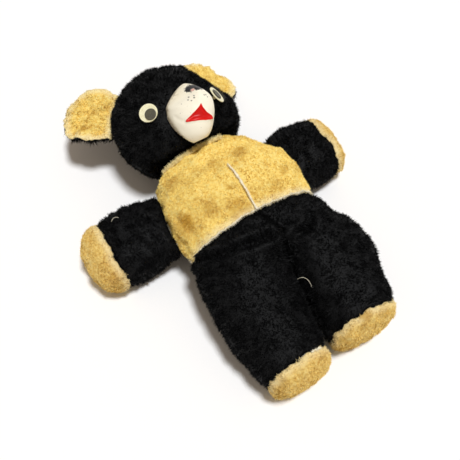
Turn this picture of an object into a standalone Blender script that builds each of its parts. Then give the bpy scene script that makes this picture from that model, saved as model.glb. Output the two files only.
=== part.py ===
"""Old two-tone plush bear, lying on its back with its feet towards -Y.

Units are metres. The bear's left is +X, its head is towards +Y and its front faces +Z.
The floor is the plane Z = 0, and the origin is the middle of the flat of the torso's back.
"""

import math

import bmesh
import bpy
from mathutils import Matrix, Vector

MM = 0.001

# Cloth, seams and stuffing
COVER = 4.0 * MM
SEAM_GAP = 0.3 * MM
STUFFING_GAP = 0.9 * MM
ARM_STUFFING_GAP = 1.4 * MM
SETTLE = 5.0 * MM
CLOTH_SLACK = 1.6 * MM
SIDE_SEAM = -0.1
WELD = 0.01 * MM
SHORT_EDGE = 0.03 * MM
HOLE_REACH = 2.0 * COVER
FACE_ROOM_RISE = 3.0
SMOOTH_ANGLE = math.radians(50.0)

# Torso, from the waist seam up to the neck
WAIST_Y = -32.0 * MM
WAIST_HALF = 68.0 * MM
WAIST_TOP = 80.0 * MM
BELLY_Y = 6.0 * MM
BELLY_HALF = 71.0 * MM
BELLY_TOP = 91.0 * MM
CHEST_Y = 40.0 * MM
CHEST_HALF = 65.0 * MM
CHEST_TOP = 78.5 * MM
NECK_Y = 73.0 * MM
NECK_HALF = 27.0 * MM
TORSO_ROUNDNESS = 2.25
SHOULDER_ROUNDNESS = 2.35

# Trousers, from the waist seam down to the feet; each OUT is how far a side reaches from X = 0
CROTCH_Y = -56.0 * MM
CROTCH_MIDDLE = 9.0 * MM
HIP_HALF = 76.0 * MM
HIP_TOP = 77.0 * MM
LEG_PART_Y = -78.0 * MM
THIGH_Y = -94.0 * MM
THIGH_MIDDLE = 4.0 * MM
THIGH_OUT = {"left": 87.5 * MM, "right": 79.0 * MM}
THIGH_TOP = 70.0 * MM
SHIN_Y = -128.0 * MM
SHIN_MIDDLE = -2.0 * MM
SHIN_OUT = {"left": 79.0 * MM, "right": 78.0 * MM}
SHIN_TOP = 63.0 * MM
FOOT_MIDDLE = -4.0 * MM
FOOT_OUT = {"left": 71.0 * MM, "right": 71.0 * MM}
FOOT_TOP = 60.0 * MM
FOOT_SEAM_Y = {"left": -155.0 * MM, "right": -159.0 * MM}
FOOT_END_Y = {"left": -170.0 * MM, "right": -178.0 * MM}
LEG_ROUNDNESS = 2.3
FOOT_ROUNDNESS = 2.4
LEG_PRESS = 3.0 * MM
FOOT_SPACE = 2.0 * MM
LEG_WRAP = math.radians(125.0)

# Arms, from the torso's side seam out to the paws
ARM_ROOT_Y = 20.0 * MM
ARM_ROOT_HALF = 34.0 * MM
ARM_ROOT_LOW = 14.0 * MM
ARM_ROOT_TOP = 52.0 * MM
ARM_MIDDLE_Y = 25.0 * MM
ARM_MIDDLE_HALF = 38.0 * MM
ARM_MIDDLE_TOP = 52.0 * MM
PAW_Y = {"right": 24.5 * MM, "left": 26.0 * MM}
PAW_HALF = {"right": 38.0 * MM, "left": 36.0 * MM}
PAW_TOP = 47.0 * MM
ARM_ROUNDNESS = 2.3
PAW_ROUNDNESS = {"right": 2.4, "left": 2.15}
ARM_REACH = {"right": 153.0 * MM, "left": 137.0 * MM}
PAW_LENGTH = {"right": 28.0 * MM, "left": 17.0 * MM}
ARM_WAD_ENDS = (0.3, 0.65)

# Head, a turned and tilted egg that rests against the torso's neck end
HEAD_X = -5.5 * MM
HEAD_Y = 111.5 * MM
HEAD_Z = 50.5 * MM
HEAD_HALF_X = 66.5 * MM
HEAD_HALF_Y = 64.0 * MM
HEAD_HALF_Z = 53.5 * MM
HEAD_YAW = math.radians(-9.0)
HEAD_TURN = math.radians(9.0)
HEAD_NOD = math.radians(1.0)
HEAD_SEAM = math.radians(-13.0)
CHIN_Z = 64.0 * MM
CHIN_SLOPE = 0.75
TEMPLE_TURN = math.radians(18.3)
TEMPLE_TILT = math.radians(34.0)
TEMPLE_REACH = 52.8 * MM

# Ears, two cloth layers each
EAR_CLOTH = 3.6 * MM
EAR_REACH = {"right": 52.5 * MM, "left": 50.0 * MM}
EAR_BASE_HALF = 26.0 * MM
EAR_WIDE_HALF = 33.0 * MM
EAR_WIDE_AT = 0.45
EAR_ROUNDNESS = 2.2
EAR_CUP = {"right": 7.0 * MM, "left": 1.0 * MM}
EAR_CUP_RISE = 2.0
EAR_ANGLE = {"right": math.radians(60.0), "left": math.radians(46.0)}
EAR_BEND = {"right": math.radians(20.0), "left": math.radians(17.0)}

# Moulded muzzle in the front of the head
MUZZLE_SIDEWAYS = 0.0 * MM
MUZZLE_BELOW = 27.0 * MM
MUZZLE_HALF_WIDTH = 22.0 * MM
MUZZLE_HALF_LENGTH = 28.0 * MM
MUZZLE_EGG = -0.05
MUZZLE_LEAN = math.radians(-8.0)
MUZZLE_RISE = 17.0 * MM
MUZZLE_NOSE_SHARE = 0.25
MUZZLE_ROUNDNESS = 2.2
MUZZLE_CORNERS = 1.8
MUZZLE_WALL = 2.0 * MM
MUZZLE_COLLAR = 2.5 * MM
MUZZLE_SAG = 0.40
MUZZLE_SKEW = 0.22
MUZZLE_CHIN_ROOM = 3.0 * MM
FLANGE_SLACK = 3.2 * MM
FLANGE_WIDTH = 2.5 * MM
FLANGE_THICK = 1.2 * MM
MUZZLE_HOLE_DEPTH = 32.0 * MM

# Wiggle eyes on shanks
EYE_SIDEWAYS = {"right": 34.5 * MM, "left": 33.5 * MM}
EYE_BELOW = {"right": 15.0 * MM, "left": 13.5 * MM}
EYE_RADIUS = 9.1 * MM
EYE_FLOOR = 1.2 * MM
EYE_DOME_SKIRT = 1.3 * MM
EYE_DOME_RISE = 3.2 * MM
EYE_DOME_WALL = 0.7 * MM
PUPIL_RADIUS = 5.2 * MM
PUPIL_THICK = 0.9 * MM
PUPIL_SLIDE = 2.3 * MM
SHANK_RADIUS = 1.8 * MM
WASHER_RADIUS = 6.0 * MM
WASHER_THICK = 1.0 * MM
EYE_CLEARANCE = 0.3 * MM

# Faces around and along each form
TORSO_TURNS = 32
TORSO_ROWS = 4
SHOULDER_ROWS = 4
HIP_ROWS = 2
LEG_ROWS = 7
LEG_COLUMNS = 9
LEG_WALL_COLUMNS = 2
FOOT_ROWS = 3
ARM_COLUMNS = 9
ARM_ROWS = 5
PAW_ROWS = 3
HEAD_COLUMNS = 14
HEAD_ROWS = 13
EAR_COLUMNS = 8
EAR_ROWS = 6
MUZZLE_TURNS = 28
MUZZLE_ROWS = 6
EYE_TURNS = 16

HEAD_HALF = Vector((HEAD_HALF_X, HEAD_HALF_Y, HEAD_HALF_Z))
HEAD_FRAME = (
    Matrix.Translation((HEAD_X, HEAD_Y, HEAD_Z))
    @ Matrix.Rotation(HEAD_NOD, 4, "X")
    @ Matrix.Rotation(HEAD_TURN, 4, "Y")
    @ Matrix.Rotation(HEAD_YAW, 4, "Z")
)
TEMPLE_OUT = Vector((
    math.cos(TEMPLE_TURN) * math.cos(TEMPLE_TILT),
    math.sin(TEMPLE_TURN) * math.cos(TEMPLE_TILT),
    math.sin(TEMPLE_TILT),
))

COLOURS = {
    "black_plush": ((0.012, 0.011, 0.010, 1.0), 0.92, 0.0),
    "tan_plush": ((0.62, 0.42, 0.17, 1.0), 0.90, 0.0),
    "stuffing": ((0.74, 0.70, 0.60, 1.0), 0.95, 0.0),
    "moulded_white": ((0.86, 0.82, 0.72, 1.0), 0.35, 0.0),
    "eye_white": ((0.85, 0.83, 0.70, 1.0), 0.40, 0.0),
    "eye_black": ((0.05, 0.045, 0.04, 1.0), 0.40, 0.0),
    "clear_plastic": ((0.95, 0.95, 0.95, 1.0), 0.08, 0.0),
    "washer_metal": ((0.55, 0.55, 0.56, 1.0), 0.40, 1.0),
}


def clear_scene():
    """Removes whatever the file holds."""
    for item in list(bpy.data.objects):
        bpy.data.objects.remove(item, do_unlink=True)


def make_material(node, finish):
    """Gives each piece a material of its own."""
    colour, roughness, metallic = COLOURS[finish]
    material = bpy.data.materials.new(node + "_" + finish)
    material.use_nodes = True
    shader = material.node_tree.nodes["Principled BSDF"]
    shader.inputs["Base Color"].default_value = colour
    shader.inputs["Roughness"].default_value = roughness
    shader.inputs["Metallic"].default_value = metallic
    if finish == "clear_plastic":
        shader.inputs["Transmission Weight"].default_value = 1.0
    return material


def link_mesh(name, bm, root):
    """Turns a bmesh into an object under the bear's empty."""
    bmesh.ops.remove_doubles(bm, verts=bm.verts, dist=WELD)
    bmesh.ops.recalc_face_normals(bm, faces=bm.faces)
    mesh = bpy.data.meshes.new(name)
    bm.to_mesh(mesh)
    bm.free()
    item = bpy.data.objects.new(name, mesh)
    item.parent = root
    bpy.context.collection.objects.link(item)
    return item


def add_piece(name, finish, bm, root):
    """Adds one smooth-shaded piece of the bear with its own material."""
    item = link_mesh(name, bm, root)
    item.data.shade_smooth()
    item.data.set_sharp_from_angle(angle=SMOOTH_ANGLE)
    item.data.materials.append(make_material(name, finish))
    return item


def add_cutter(name, bm, root):
    """Adds a wire-only object that a Boolean cuts with."""
    item = link_mesh(name, bm, root)
    item.hide_render = True
    item.display_type = "WIRE"
    return item


def cut(item, cutter):
    """Cuts one piece with a cutter by an exact Boolean."""
    modifier = item.modifiers.new("cut_by_" + cutter.name, "BOOLEAN")
    modifier.operation = "DIFFERENCE"
    modifier.solver = "EXACT"
    modifier.object = cutter


def spaced(first, last, count):
    """Evenly spaced values from first to last, both included."""
    return [first + (last - first) * step / count for step in range(count + 1)]


def power(value, exponent):
    """Power of a number that keeps the number's sign."""
    return math.copysign(abs(value) ** exponent, value)


def ease(value):
    """Smooth step from 0 to 1."""
    value = min(max(value, 0.0), 1.0)
    return value * value * (3.0 - 2.0 * value)


def follow(stations, at):
    """Smooth values between stations, each a place followed by the values there."""
    last = len(stations) - 1
    at = min(max(at, stations[0][0]), stations[last][0])
    low = max(index for index in range(last) if stations[index][0] <= at)
    span = stations[low + 1][0] - stations[low][0]
    part = (at - stations[low][0]) / span
    values = []
    for column in range(1, len(stations[0])):
        slopes = []
        for index in (low, low + 1):
            before = stations[max(index - 1, 0)]
            after = stations[min(index + 1, last)]
            slopes.append((after[column] - before[column]) / (after[0] - before[0]) * span)
        value = (2.0 * part**3 - 3.0 * part**2 + 1.0) * stations[low][column]
        value += (3.0 * part**2 - 2.0 * part**3) * stations[low + 1][column]
        value += (part**3 - 2.0 * part**2 + part) * slopes[0] + (part**3 - part**2) * slopes[1]
        values.append(value)
    return values


def cap_share(part, roundness):
    """How much of a section is left at a part of the way into its rounded end."""
    return max(1.0 - min(abs(part), 1.0) ** roundness, 0.0) ** (1.0 / roundness)


def cap_places(first, last, roundness, count):
    """Places along a rounded end, closer together towards its tip."""
    turns = spaced(0.0, math.pi / 2.0, count)[1:]
    return [first + (last - first) * math.sin(turn) ** (2.0 / roundness) for turn in turns]


def section_point(angle, section, roundness, depth, share=1.0):
    """Place across and up on a stuffed section that lies on the floor, a depth inside its pile."""
    half, low, top = section
    middle = 0.5 * (low + top)
    tall = 0.5 * (top - low)
    across = (half - depth) * share * power(math.cos(angle), 2.0 / roundness)
    up = middle + (tall - depth) * share * power(math.sin(angle), 2.0 / roundness)
    return across, max(up, depth)


def fill_cell(bm, corners):
    """Fills four corners with two triangles, always split from the first corner to the third."""
    for trio in (corners[:3], [corners[2], corners[3], corners[0]]):
        edges = [(trio[index].co - trio[index - 1].co).length for index in range(3)]
        if min(edges) > SHORT_EDGE:
            bm.faces.new(trio)


def build_panel(name, finish, root, surface, rows, columns, keep=None, closed=False):
    """Makes a sewn panel: its pile side, its back one cover deeper, and the rims between.

    surface(row, column, depth) gives a point, and keep(row, column) picks cells by their middles.
    """
    bm = bmesh.new()
    count = len(columns)
    sides = []
    for depth in (0.0, COVER):
        sides.append([[bm.verts.new(surface(row, column, depth)) for column in columns] for row in rows])
    cells = set()
    for row in range(len(rows) - 1):
        for column in range(count if closed else count - 1):
            along = 0.5 * (rows[row] + rows[row + 1])
            around = 0.5 * (columns[column] + columns[(column + 1) % count])
            if keep is None or keep(along, around):
                cells.add((row, column))
    for row, column in cells:
        after = (column + 1) % count
        before = (column - 1) % count if closed else column - 1
        corners = ((row, column), (row + 1, column), (row + 1, after), (row, after))
        for side in sides:
            fill_cell(bm, [side[r][c] for r, c in corners])
        beyond = ((row, before), (row + 1, column), (row, after if closed else column + 1), (row - 1, column))
        for side, neighbour in enumerate(beyond):
            if neighbour in cells:
                continue
            first = corners[side]
            second = corners[(side + 1) % 4]
            outer = [sides[0][r][c] for r, c in (second, first)]
            inner = [sides[1][r][c] for r, c in (first, second)]
            if (outer[0].co - outer[1].co).length > SHORT_EDGE:
                bm.faces.new(outer + inner)
    loose = [vert for vert in bm.verts if not vert.link_faces]
    bmesh.ops.delete(bm, geom=loose, context="VERTS")
    return add_piece(name, finish, bm, root)


def skin_rings(bm, rings):
    """Joins a list of rings with faces and closes both ends."""
    grid = [[bm.verts.new(point) for point in ring] for ring in rings]
    count = len(grid[0])
    for ring in range(len(grid) - 1):
        for column in range(count):
            after = (column + 1) % count
            corners = [grid[ring][column], grid[ring + 1][column], grid[ring + 1][after], grid[ring][after]]
            fill_cell(bm, corners)
    bm.faces.new(grid[0])
    bm.faces.new(list(reversed(grid[-1])))


def build_wad(name, root, rings):
    """Makes a closed wad of stuffing from a list of rings."""
    bm = bmesh.new()
    skin_rings(bm, rings)
    return add_piece(name, "stuffing", bm, root)


def torso_section(y):
    """Half width, lowest and highest point of the torso before its neck end is rounded."""
    stations = (
        (WAIST_Y, WAIST_HALF, WAIST_TOP),
        (BELLY_Y, BELLY_HALF, BELLY_TOP),
        (CHEST_Y, CHEST_HALF, CHEST_TOP),
    )
    half, top = follow(stations, y)
    return half, -SETTLE, top


def torso_point(y, angle, depth):
    """Point of the torso's surface, between the waist seam and the neck's end."""
    part = max(y - CHEST_Y, 0.0) / (NECK_Y - CHEST_Y)
    share = cap_share(part, SHOULDER_ROUNDNESS)
    across, up = section_point(angle, torso_section(y), TORSO_ROUNDNESS, depth, share)
    if y > CHEST_Y:
        y = CHEST_Y + (NECK_Y - CHEST_Y - depth) * part
    return Vector((across, y, up))


def torso_side(y, z):
    """How far the torso's side lies from its middle plane at a place beside it."""
    half, low, top = torso_section(y)
    end_share = cap_share(max(y - CHEST_Y, 0.0) / (NECK_Y - CHEST_Y), SHOULDER_ROUNDNESS)
    if end_share <= 0.0:
        return 0.0
    tall = 0.5 * (top - low) * end_share
    return half * end_share * cap_share((z - 0.5 * (low + top)) / tall, TORSO_ROUNDNESS)


def neck_rows():
    """Rows over the shoulders, up to the opening that the neck plug fills."""
    share = NECK_HALF / CHEST_HALF
    part = cap_share(share, SHOULDER_ROUNDNESS)
    turn = math.asin(part ** (SHOULDER_ROUNDNESS / 2.0))
    turns = spaced(0.0, turn, SHOULDER_ROWS)[1:]
    length = NECK_Y - CHEST_Y
    return [CHEST_Y + length * math.sin(turn) ** (2.0 / SHOULDER_ROUNDNESS) for turn in turns]


def build_torso(root):
    """Tan chest in two halves with a seam down the middle, and the black back."""
    rows = spaced(WAIST_Y + 0.5 * SEAM_GAP, CHEST_Y, TORSO_ROWS) + neck_rows()
    seam = SEAM_GAP / NECK_HALF
    side = -SIDE_SEAM * math.pi / 2.0
    quarter = TORSO_TURNS // 4
    front_left = spaced(-side + seam, math.pi / 2.0 - seam, quarter)
    front_right = spaced(math.pi / 2.0 + seam, math.pi + side - seam, quarter)
    back = spaced(math.pi + side + seam, 2.0 * math.pi - side - seam, 2 * quarter)
    build_panel("torso_front_left", "tan_plush", root, torso_point, rows, front_left)
    build_panel("torso_front_right", "tan_plush", root, torso_point, rows, front_right)
    build_panel("torso_back", "black_plush", root, torso_point, rows, back)


def hip_section(y):
    """Half width, lowest and highest point of the hips, before they divide into legs."""
    stations = (
        (-WAIST_Y, WAIST_HALF, WAIST_TOP),
        (-CROTCH_Y, HIP_HALF, HIP_TOP),
        (-THIGH_Y, 0.5 * (THIGH_OUT["left"] + THIGH_OUT["right"]), THIGH_TOP),
    )
    half, top = follow(stations, -y)
    return half, -SETTLE, top


def leg_section(side, y):
    """Where the legs part, how far a leg reaches out, and its highest point."""
    stations = (
        (-WAIST_Y, 0.0, WAIST_HALF, WAIST_TOP),
        (-CROTCH_Y, CROTCH_MIDDLE, HIP_HALF, HIP_TOP),
        (-THIGH_Y, THIGH_MIDDLE, THIGH_OUT[side], THIGH_TOP),
        (-SHIN_Y, SHIN_MIDDLE, SHIN_OUT[side], SHIN_TOP),
        (-FOOT_SEAM_Y[side], FOOT_MIDDLE, FOOT_OUT[side], FOOT_TOP),
    )
    return follow(stations, -y)


def leg_point(side, y, turn, depth):
    """Point of half the trousers or of a foot.

    turn runs from -1 below the crotch seam, round the outer side, to 1 above it. From 1 to 2 and
    from -1 to -2 it goes down and up the leg's inner side, which starts at the crotch.
    """
    sign = 1.0 if side == "left" else -1.0
    seam = FOOT_SEAM_Y[side]
    end = FOOT_END_Y[side]
    part = max(seam - y, 0.0) / (seam - end)
    share = cap_share(part, FOOT_ROUNDNESS)
    middle, out, top = leg_section(side, y)
    apart = FOOT_SPACE * ease((THIGH_Y - y) / (THIGH_Y - seam))
    press = LEG_PRESS - (LEG_PRESS + apart) * ease((THIGH_Y - y) / (THIGH_Y - seam))
    half = 0.5 * (out - sign * middle + press)
    centre = out - half - sign * middle
    if abs(turn) <= 1.0:
        leg_angle = LEG_WRAP * turn
        hip_angle = math.pi / 2.0 * turn
    else:
        leg_angle = math.copysign(LEG_WRAP + (abs(turn) - 1.0) * (math.pi - LEG_WRAP), turn)
        hip_angle = math.copysign(math.pi / 2.0, turn)
    leg_across, leg_up = section_point(leg_angle, (half, -SETTLE, top), LEG_ROUNDNESS, depth, share)
    hip_half, low, hip_top = hip_section(y)
    hip = (hip_half - sign * middle, low, hip_top)
    hip_across, hip_up = section_point(hip_angle, hip, TORSO_ROUNDNESS, depth)
    if abs(turn) > 1.0:
        between = 0.5 * (hip_top + depth)
        hip_up = between + (hip_up - between) * (2.0 - abs(turn))
    parted = ease((CROTCH_Y - y) / (CROTCH_Y - LEG_PART_Y))
    across = hip_across + (centre + leg_across - hip_across) * parted
    up = hip_up + (leg_up - hip_up) * parted
    wall = depth if abs(turn) > 1.0 or y <= CROTCH_Y else 0.0
    across = max(across, 0.5 * SEAM_GAP + wall)
    if y < seam:
        y = seam + (end + depth - seam) * part
    return Vector((middle + sign * across, y, up))


def build_legs(root):
    """Black trousers with a front and a back on each side, and tan foot caps."""
    turn_gap = SEAM_GAP / (0.5 * min(FOOT_OUT.values()))
    front = spaced(SIDE_SEAM + turn_gap, 1.0, LEG_COLUMNS)
    front += spaced(1.0, 2.0 - turn_gap, LEG_WALL_COLUMNS)[1:]
    back = spaced(-2.0 + turn_gap, -1.0, LEG_WALL_COLUMNS)
    back += spaced(-1.0, SIDE_SEAM - turn_gap, LEG_COLUMNS - 2)[1:]
    loop = spaced(-1.0, 1.0, 2 * LEG_COLUMNS - 2) + spaced(1.0, 3.0, 2 * LEG_WALL_COLUMNS)[1:-1]
    for side in ("left", "right"):

        def surface(y, turn, depth, side=side):
            return leg_point(side, y, turn - 4.0 if turn > 2.0 else turn, depth)

        def keep_front(y, turn):
            return turn < 1.0 or y < CROTCH_Y

        def keep_back(y, turn):
            return turn > -1.0 or y < CROTCH_Y

        seam = FOOT_SEAM_Y[side]
        hips = spaced(WAIST_Y - 0.5 * SEAM_GAP, CROTCH_Y, HIP_ROWS)
        legs = spaced(CROTCH_Y, seam + 0.5 * SEAM_GAP, LEG_ROWS)[1:]
        caps = cap_places(seam, FOOT_END_Y[side], FOOT_ROUNDNESS, FOOT_ROWS)
        cap_rows = [seam - 0.5 * SEAM_GAP] + caps
        build_panel("trouser_front_" + side, "black_plush", root, surface, hips + legs, front, keep_front)
        build_panel("trouser_back_" + side, "black_plush", root, surface, hips + legs, back, keep_back)
        build_panel("foot_cap_" + side, "tan_plush", root, surface, cap_rows, loop, closed=True)
        wad_rows = [CROTCH_Y - 0.5 * SEAM_GAP] + legs[:-1] + [seam] + caps
        depth = COVER + STUFFING_GAP
        rings = [[surface(y, turn, depth) for turn in loop[::2]] for y in wad_rows]
        build_wad("leg_stuffing_" + side, root, rings)


def arm_stations(side):
    """Stations along an arm, from the torso's side to the paw seam."""
    root = torso_side(ARM_ROOT_Y, 0.5 * (ARM_ROOT_LOW + ARM_ROOT_TOP)) + SEAM_GAP
    seam = ARM_REACH[side] - PAW_LENGTH[side]
    return (
        (root, ARM_ROOT_Y, ARM_ROOT_HALF, ARM_ROOT_LOW, ARM_ROOT_TOP),
        (0.5 * (root + seam), ARM_MIDDLE_Y, ARM_MIDDLE_HALF, -SETTLE, ARM_MIDDLE_TOP),
        (seam, PAW_Y[side], PAW_HALF[side], -SETTLE, PAW_TOP),
    )


def arm_point(side, x, angle, depth, size=1.0):
    """Point of an arm or its paw at a nominal distance from the bear's middle plane."""
    stations = arm_stations(side)
    root, middle, seam = (station[0] for station in stations)
    centre, half, low, top = follow(stations, x)
    part = max(x - seam, 0.0) / PAW_LENGTH[side]
    share = size * cap_share(part, PAW_ROUNDNESS[side])
    across, up = section_point(angle, (half, low, top), ARM_ROUNDNESS, depth, share)
    y = centre + across
    fade = max(1.0 - max(x - root, 0.0) / (middle - root), 0.0) ** 2
    out = x + (torso_side(y, up) + SEAM_GAP - root) * fade
    if x > seam:
        out = seam + (PAW_LENGTH[side] - depth) * part
    return Vector((out if side == "left" else -out, y, up))


def build_arms(root):
    """Black arms with a front and a back, and tan paw caps."""
    seam_turn = SEAM_GAP / min(PAW_HALF.values())
    front = spaced(seam_turn, math.pi - seam_turn, ARM_COLUMNS)
    back = spaced(math.pi + seam_turn, 2.0 * math.pi - seam_turn, ARM_COLUMNS)
    loop = spaced(0.0, 2.0 * math.pi, 2 * ARM_COLUMNS)[:-1]
    for side in ("left", "right"):

        def surface(x, angle, depth, side=side):
            return arm_point(side, x, angle, depth)

        start, _, seam = (station[0] for station in arm_stations(side))
        rows = spaced(start, seam - 0.5 * SEAM_GAP, ARM_ROWS)
        caps = cap_places(seam, ARM_REACH[side], PAW_ROUNDNESS[side], PAW_ROWS)
        cap_rows = [seam + 0.5 * SEAM_GAP] + caps
        build_panel("arm_front_" + side, "black_plush", root, surface, rows, front)
        build_panel("arm_back_" + side, "black_plush", root, surface, rows, back)
        build_panel("paw_cap_" + side, "tan_plush", root, surface, cap_rows, loop, closed=True)
        depth = COVER + ARM_STUFFING_GAP
        wad_rows = rows[:-1] + [seam] + caps
        wad_rows[0] += STUFFING_GAP
        rings = [[arm_point(side, wad_rows[0], angle, depth, size) for angle in loop] for size in ARM_WAD_ENDS]
        rings += [[surface(x, angle, depth) for angle in loop] for x in wad_rows]
        build_wad("arm_stuffing_" + side, root, rings)


def head_point(turn, angle, depth, shift=0.0, slope=CHIN_SLOPE):
    """Point of the head's surface: turn runs from the neck to the crown, angle round the face.

    The head is pressed flat by the floor, by the torso's neck end and above its left ear.
    """
    half = HEAD_HALF - Vector((depth, depth, depth))
    local = Vector((
        half.x * math.sin(turn) * math.cos(angle),
        -half.y * math.cos(turn),
        half.z * math.sin(turn) * math.sin(angle) + shift,
    ))
    point = HEAD_FRAME @ local
    point.z = max(point.z, depth)
    point.y = max(point.y, neck_plane(point.z, slope) + depth)
    beyond = (point - HEAD_FRAME.translation).dot(TEMPLE_OUT) + depth - TEMPLE_REACH
    return point - TEMPLE_OUT * max(beyond, 0.0)


def neck_plane(z, slope=CHIN_SLOPE):
    """How near the head comes to the torso at a height: flat at the neck, sloped under the chin."""
    return NECK_Y + SEAM_GAP - slope * max(z - CHIN_Z, 0.0)


def head_hit(place, direction, depth):
    """Where a line in the head's own frame meets its face, a depth inside the pile."""
    half = HEAD_HALF - Vector((depth, depth, depth))
    start = Vector((place.x / half.x, place.y / half.y, place.z / half.z))
    way = Vector((direction.x / half.x, direction.y / half.y, direction.z / half.z))
    cross = start.dot(way)
    square = way.dot(way)
    root = max(cross * cross - square * (start.dot(start) - 1.0), 0.0)
    return place + direction * ((math.sqrt(root) - cross) / square)


def face_frame(sideways, below, lean=0.0):
    """Frame on the face with Z out of it and Y up the face, at a place given from its middle."""
    place = head_hit(Vector((sideways, -below, 0.0)), Vector((0.0, 0.0, 1.0)), 0.0)
    out = Vector((place.x / HEAD_HALF.x**2, place.y / HEAD_HALF.y**2, place.z / HEAD_HALF.z**2))
    out.normalize()
    right = Vector((0.0, 1.0, 0.0)).cross(out).normalized()
    up = out.cross(right)
    turned_right = right * math.cos(lean) + up * math.sin(lean)
    turned_up = up * math.cos(lean) - right * math.sin(lean)
    frame = Matrix((turned_right, turned_up, out)).transposed().to_4x4()
    frame.translation = place
    return frame


def prism(bm, frame, outline, low, high):
    """Adds a straight prism over an outline given in a frame."""
    rings = [[frame @ Vector((x, y, z)) for x, y in outline] for z in (low, high)]
    skin_rings(bm, rings)


def round_outline(radius, count=EYE_TURNS):
    """Points of a circle."""
    turns = spaced(0.0, 2.0 * math.pi, count)[:-1]
    return [(radius * math.cos(turn), radius * math.sin(turn)) for turn in turns]


def muzzle_outline(grow):
    """Egg-shaped outline of the muzzle, grown outwards, a little wider at its nose end."""
    points = []
    for turn in spaced(0.0, 2.0 * math.pi, MUZZLE_TURNS)[:-1]:
        wide = (MUZZLE_HALF_WIDTH + grow) * (1.0 - MUZZLE_EGG * math.sin(turn))
        across = wide * power(math.cos(turn), 2.0 / MUZZLE_CORNERS)
        points.append((across, (MUZZLE_HALF_LENGTH + grow) * power(math.sin(turn), 2.0 / MUZZLE_CORNERS)))
    return points


def muzzle_ring(frame, grow, share, depth, height):
    """Ring of the muzzle: an outline shrunk to a share and raised above the face."""
    out = frame.to_3x3() @ Vector((0.0, 0.0, 1.0))
    drift = frame.to_3x3() @ Vector((MUZZLE_SKEW, -MUZZLE_SAG, 0.0))
    ring = []
    for x, y in muzzle_outline(grow):
        base = head_hit(frame @ Vector((x * share, y * share, 0.0)) - out * HEAD_HALF.z, out, depth)
        nose = 1.0 + MUZZLE_NOSE_SHARE * y * share / MUZZLE_HALF_LENGTH
        point = HEAD_FRAME @ (base + out * height * nose + drift * max(height - MUZZLE_COLLAR, 0.0))
        room = MUZZLE_CHIN_ROOM if depth > 0.0 else 0.0
        point.y = max(point.y, neck_plane(point.z) + depth + room)
        ring.append(point)
    return ring


def build_muzzle(root):
    """One hollow moulding, open at its back, with a flange behind the cloth."""
    frame = face_frame(MUZZLE_SIDEWAYS, MUZZLE_BELOW, MUZZLE_LEAN)
    behind = COVER + FLANGE_SLACK
    rings = [muzzle_ring(frame, FLANGE_WIDTH, 1.0, behind + FLANGE_THICK, 0.0)]
    rings.append(muzzle_ring(frame, FLANGE_WIDTH, 1.0, behind, 0.0))
    rings.append(muzzle_ring(frame, 0.0, 1.0, behind, 0.0))
    turns = spaced(0.0, 0.5 * math.pi * (1.0 - 0.5 / MUZZLE_ROWS), MUZZLE_ROWS)
    shares = [math.cos(turn) ** (2.0 / MUZZLE_ROUNDNESS) for turn in turns]
    heights = [math.sin(turn) ** (2.0 / MUZZLE_ROUNDNESS) for turn in turns]
    for share, height in zip(shares, heights):
        rings.append(muzzle_ring(frame, 0.0, share, 0.0, MUZZLE_COLLAR + MUZZLE_RISE * height))
    rise = MUZZLE_RISE - MUZZLE_WALL
    for share, height in reversed(list(zip(shares, heights))):
        rings.append(muzzle_ring(frame, -MUZZLE_WALL, share, 0.0, MUZZLE_COLLAR + rise * height))
    rings.append(muzzle_ring(frame, -MUZZLE_WALL, 1.0, behind + FLANGE_THICK, 0.0))
    bm = bmesh.new()
    grid = [[bm.verts.new(point) for point in ring] for ring in rings]
    outer_tip = 3 + MUZZLE_ROWS
    for index, ring in enumerate(grid):
        after_ring = grid[(index + 1) % len(grid)]
        if index == outer_tip:
            bm.faces.new(ring)
            bm.faces.new(after_ring)
            continue
        for column in range(MUZZLE_TURNS):
            after = (column + 1) % MUZZLE_TURNS
            bm.faces.new((ring[column], after_ring[column], after_ring[after], ring[after]))
    add_piece("muzzle", "moulded_white", bm, root)
    hole = bmesh.new()
    prism(hole, HEAD_FRAME @ frame, muzzle_outline(EYE_CLEARANCE), -MUZZLE_HOLE_DEPTH, MUZZLE_RISE)
    return add_cutter("muzzle_hole", hole, root)


def turned(name, finish, root, frame, profile):
    """Makes a piece turned about a frame's Z from a closed profile of radius and height pairs."""
    bm = bmesh.new()
    rings = []
    for radius, height in profile:
        if radius > 0.0:
            rings.append([bm.verts.new(frame @ Vector((x, y, height))) for x, y in round_outline(radius)])
        else:
            rings.append([bm.verts.new(frame @ Vector((0.0, 0.0, height)))])
    for first, second in zip(rings, rings[1:] + rings[:1]):
        if len(first) == 1 and len(second) == 1:
            continue
        for column in range(EYE_TURNS):
            after = (column + 1) % EYE_TURNS
            if len(first) == 1:
                bm.faces.new((first[0], second[after], second[column]))
            elif len(second) == 1:
                bm.faces.new((first[column], first[after], second[0]))
            else:
                bm.faces.new((first[column], first[after], second[after], second[column]))
    return add_piece(name, finish, bm, root)


def dome_profile(radius, rise, base, count=3):
    """Quarter of an ellipse, from its rim to its top, as radius and height pairs."""
    turns = spaced(0.0, math.pi / 2.0, count)
    points = [(radius * math.cos(turn), base + rise * math.sin(turn)) for turn in turns[:-1]]
    return points + [(0.0, base + rise)]


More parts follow.
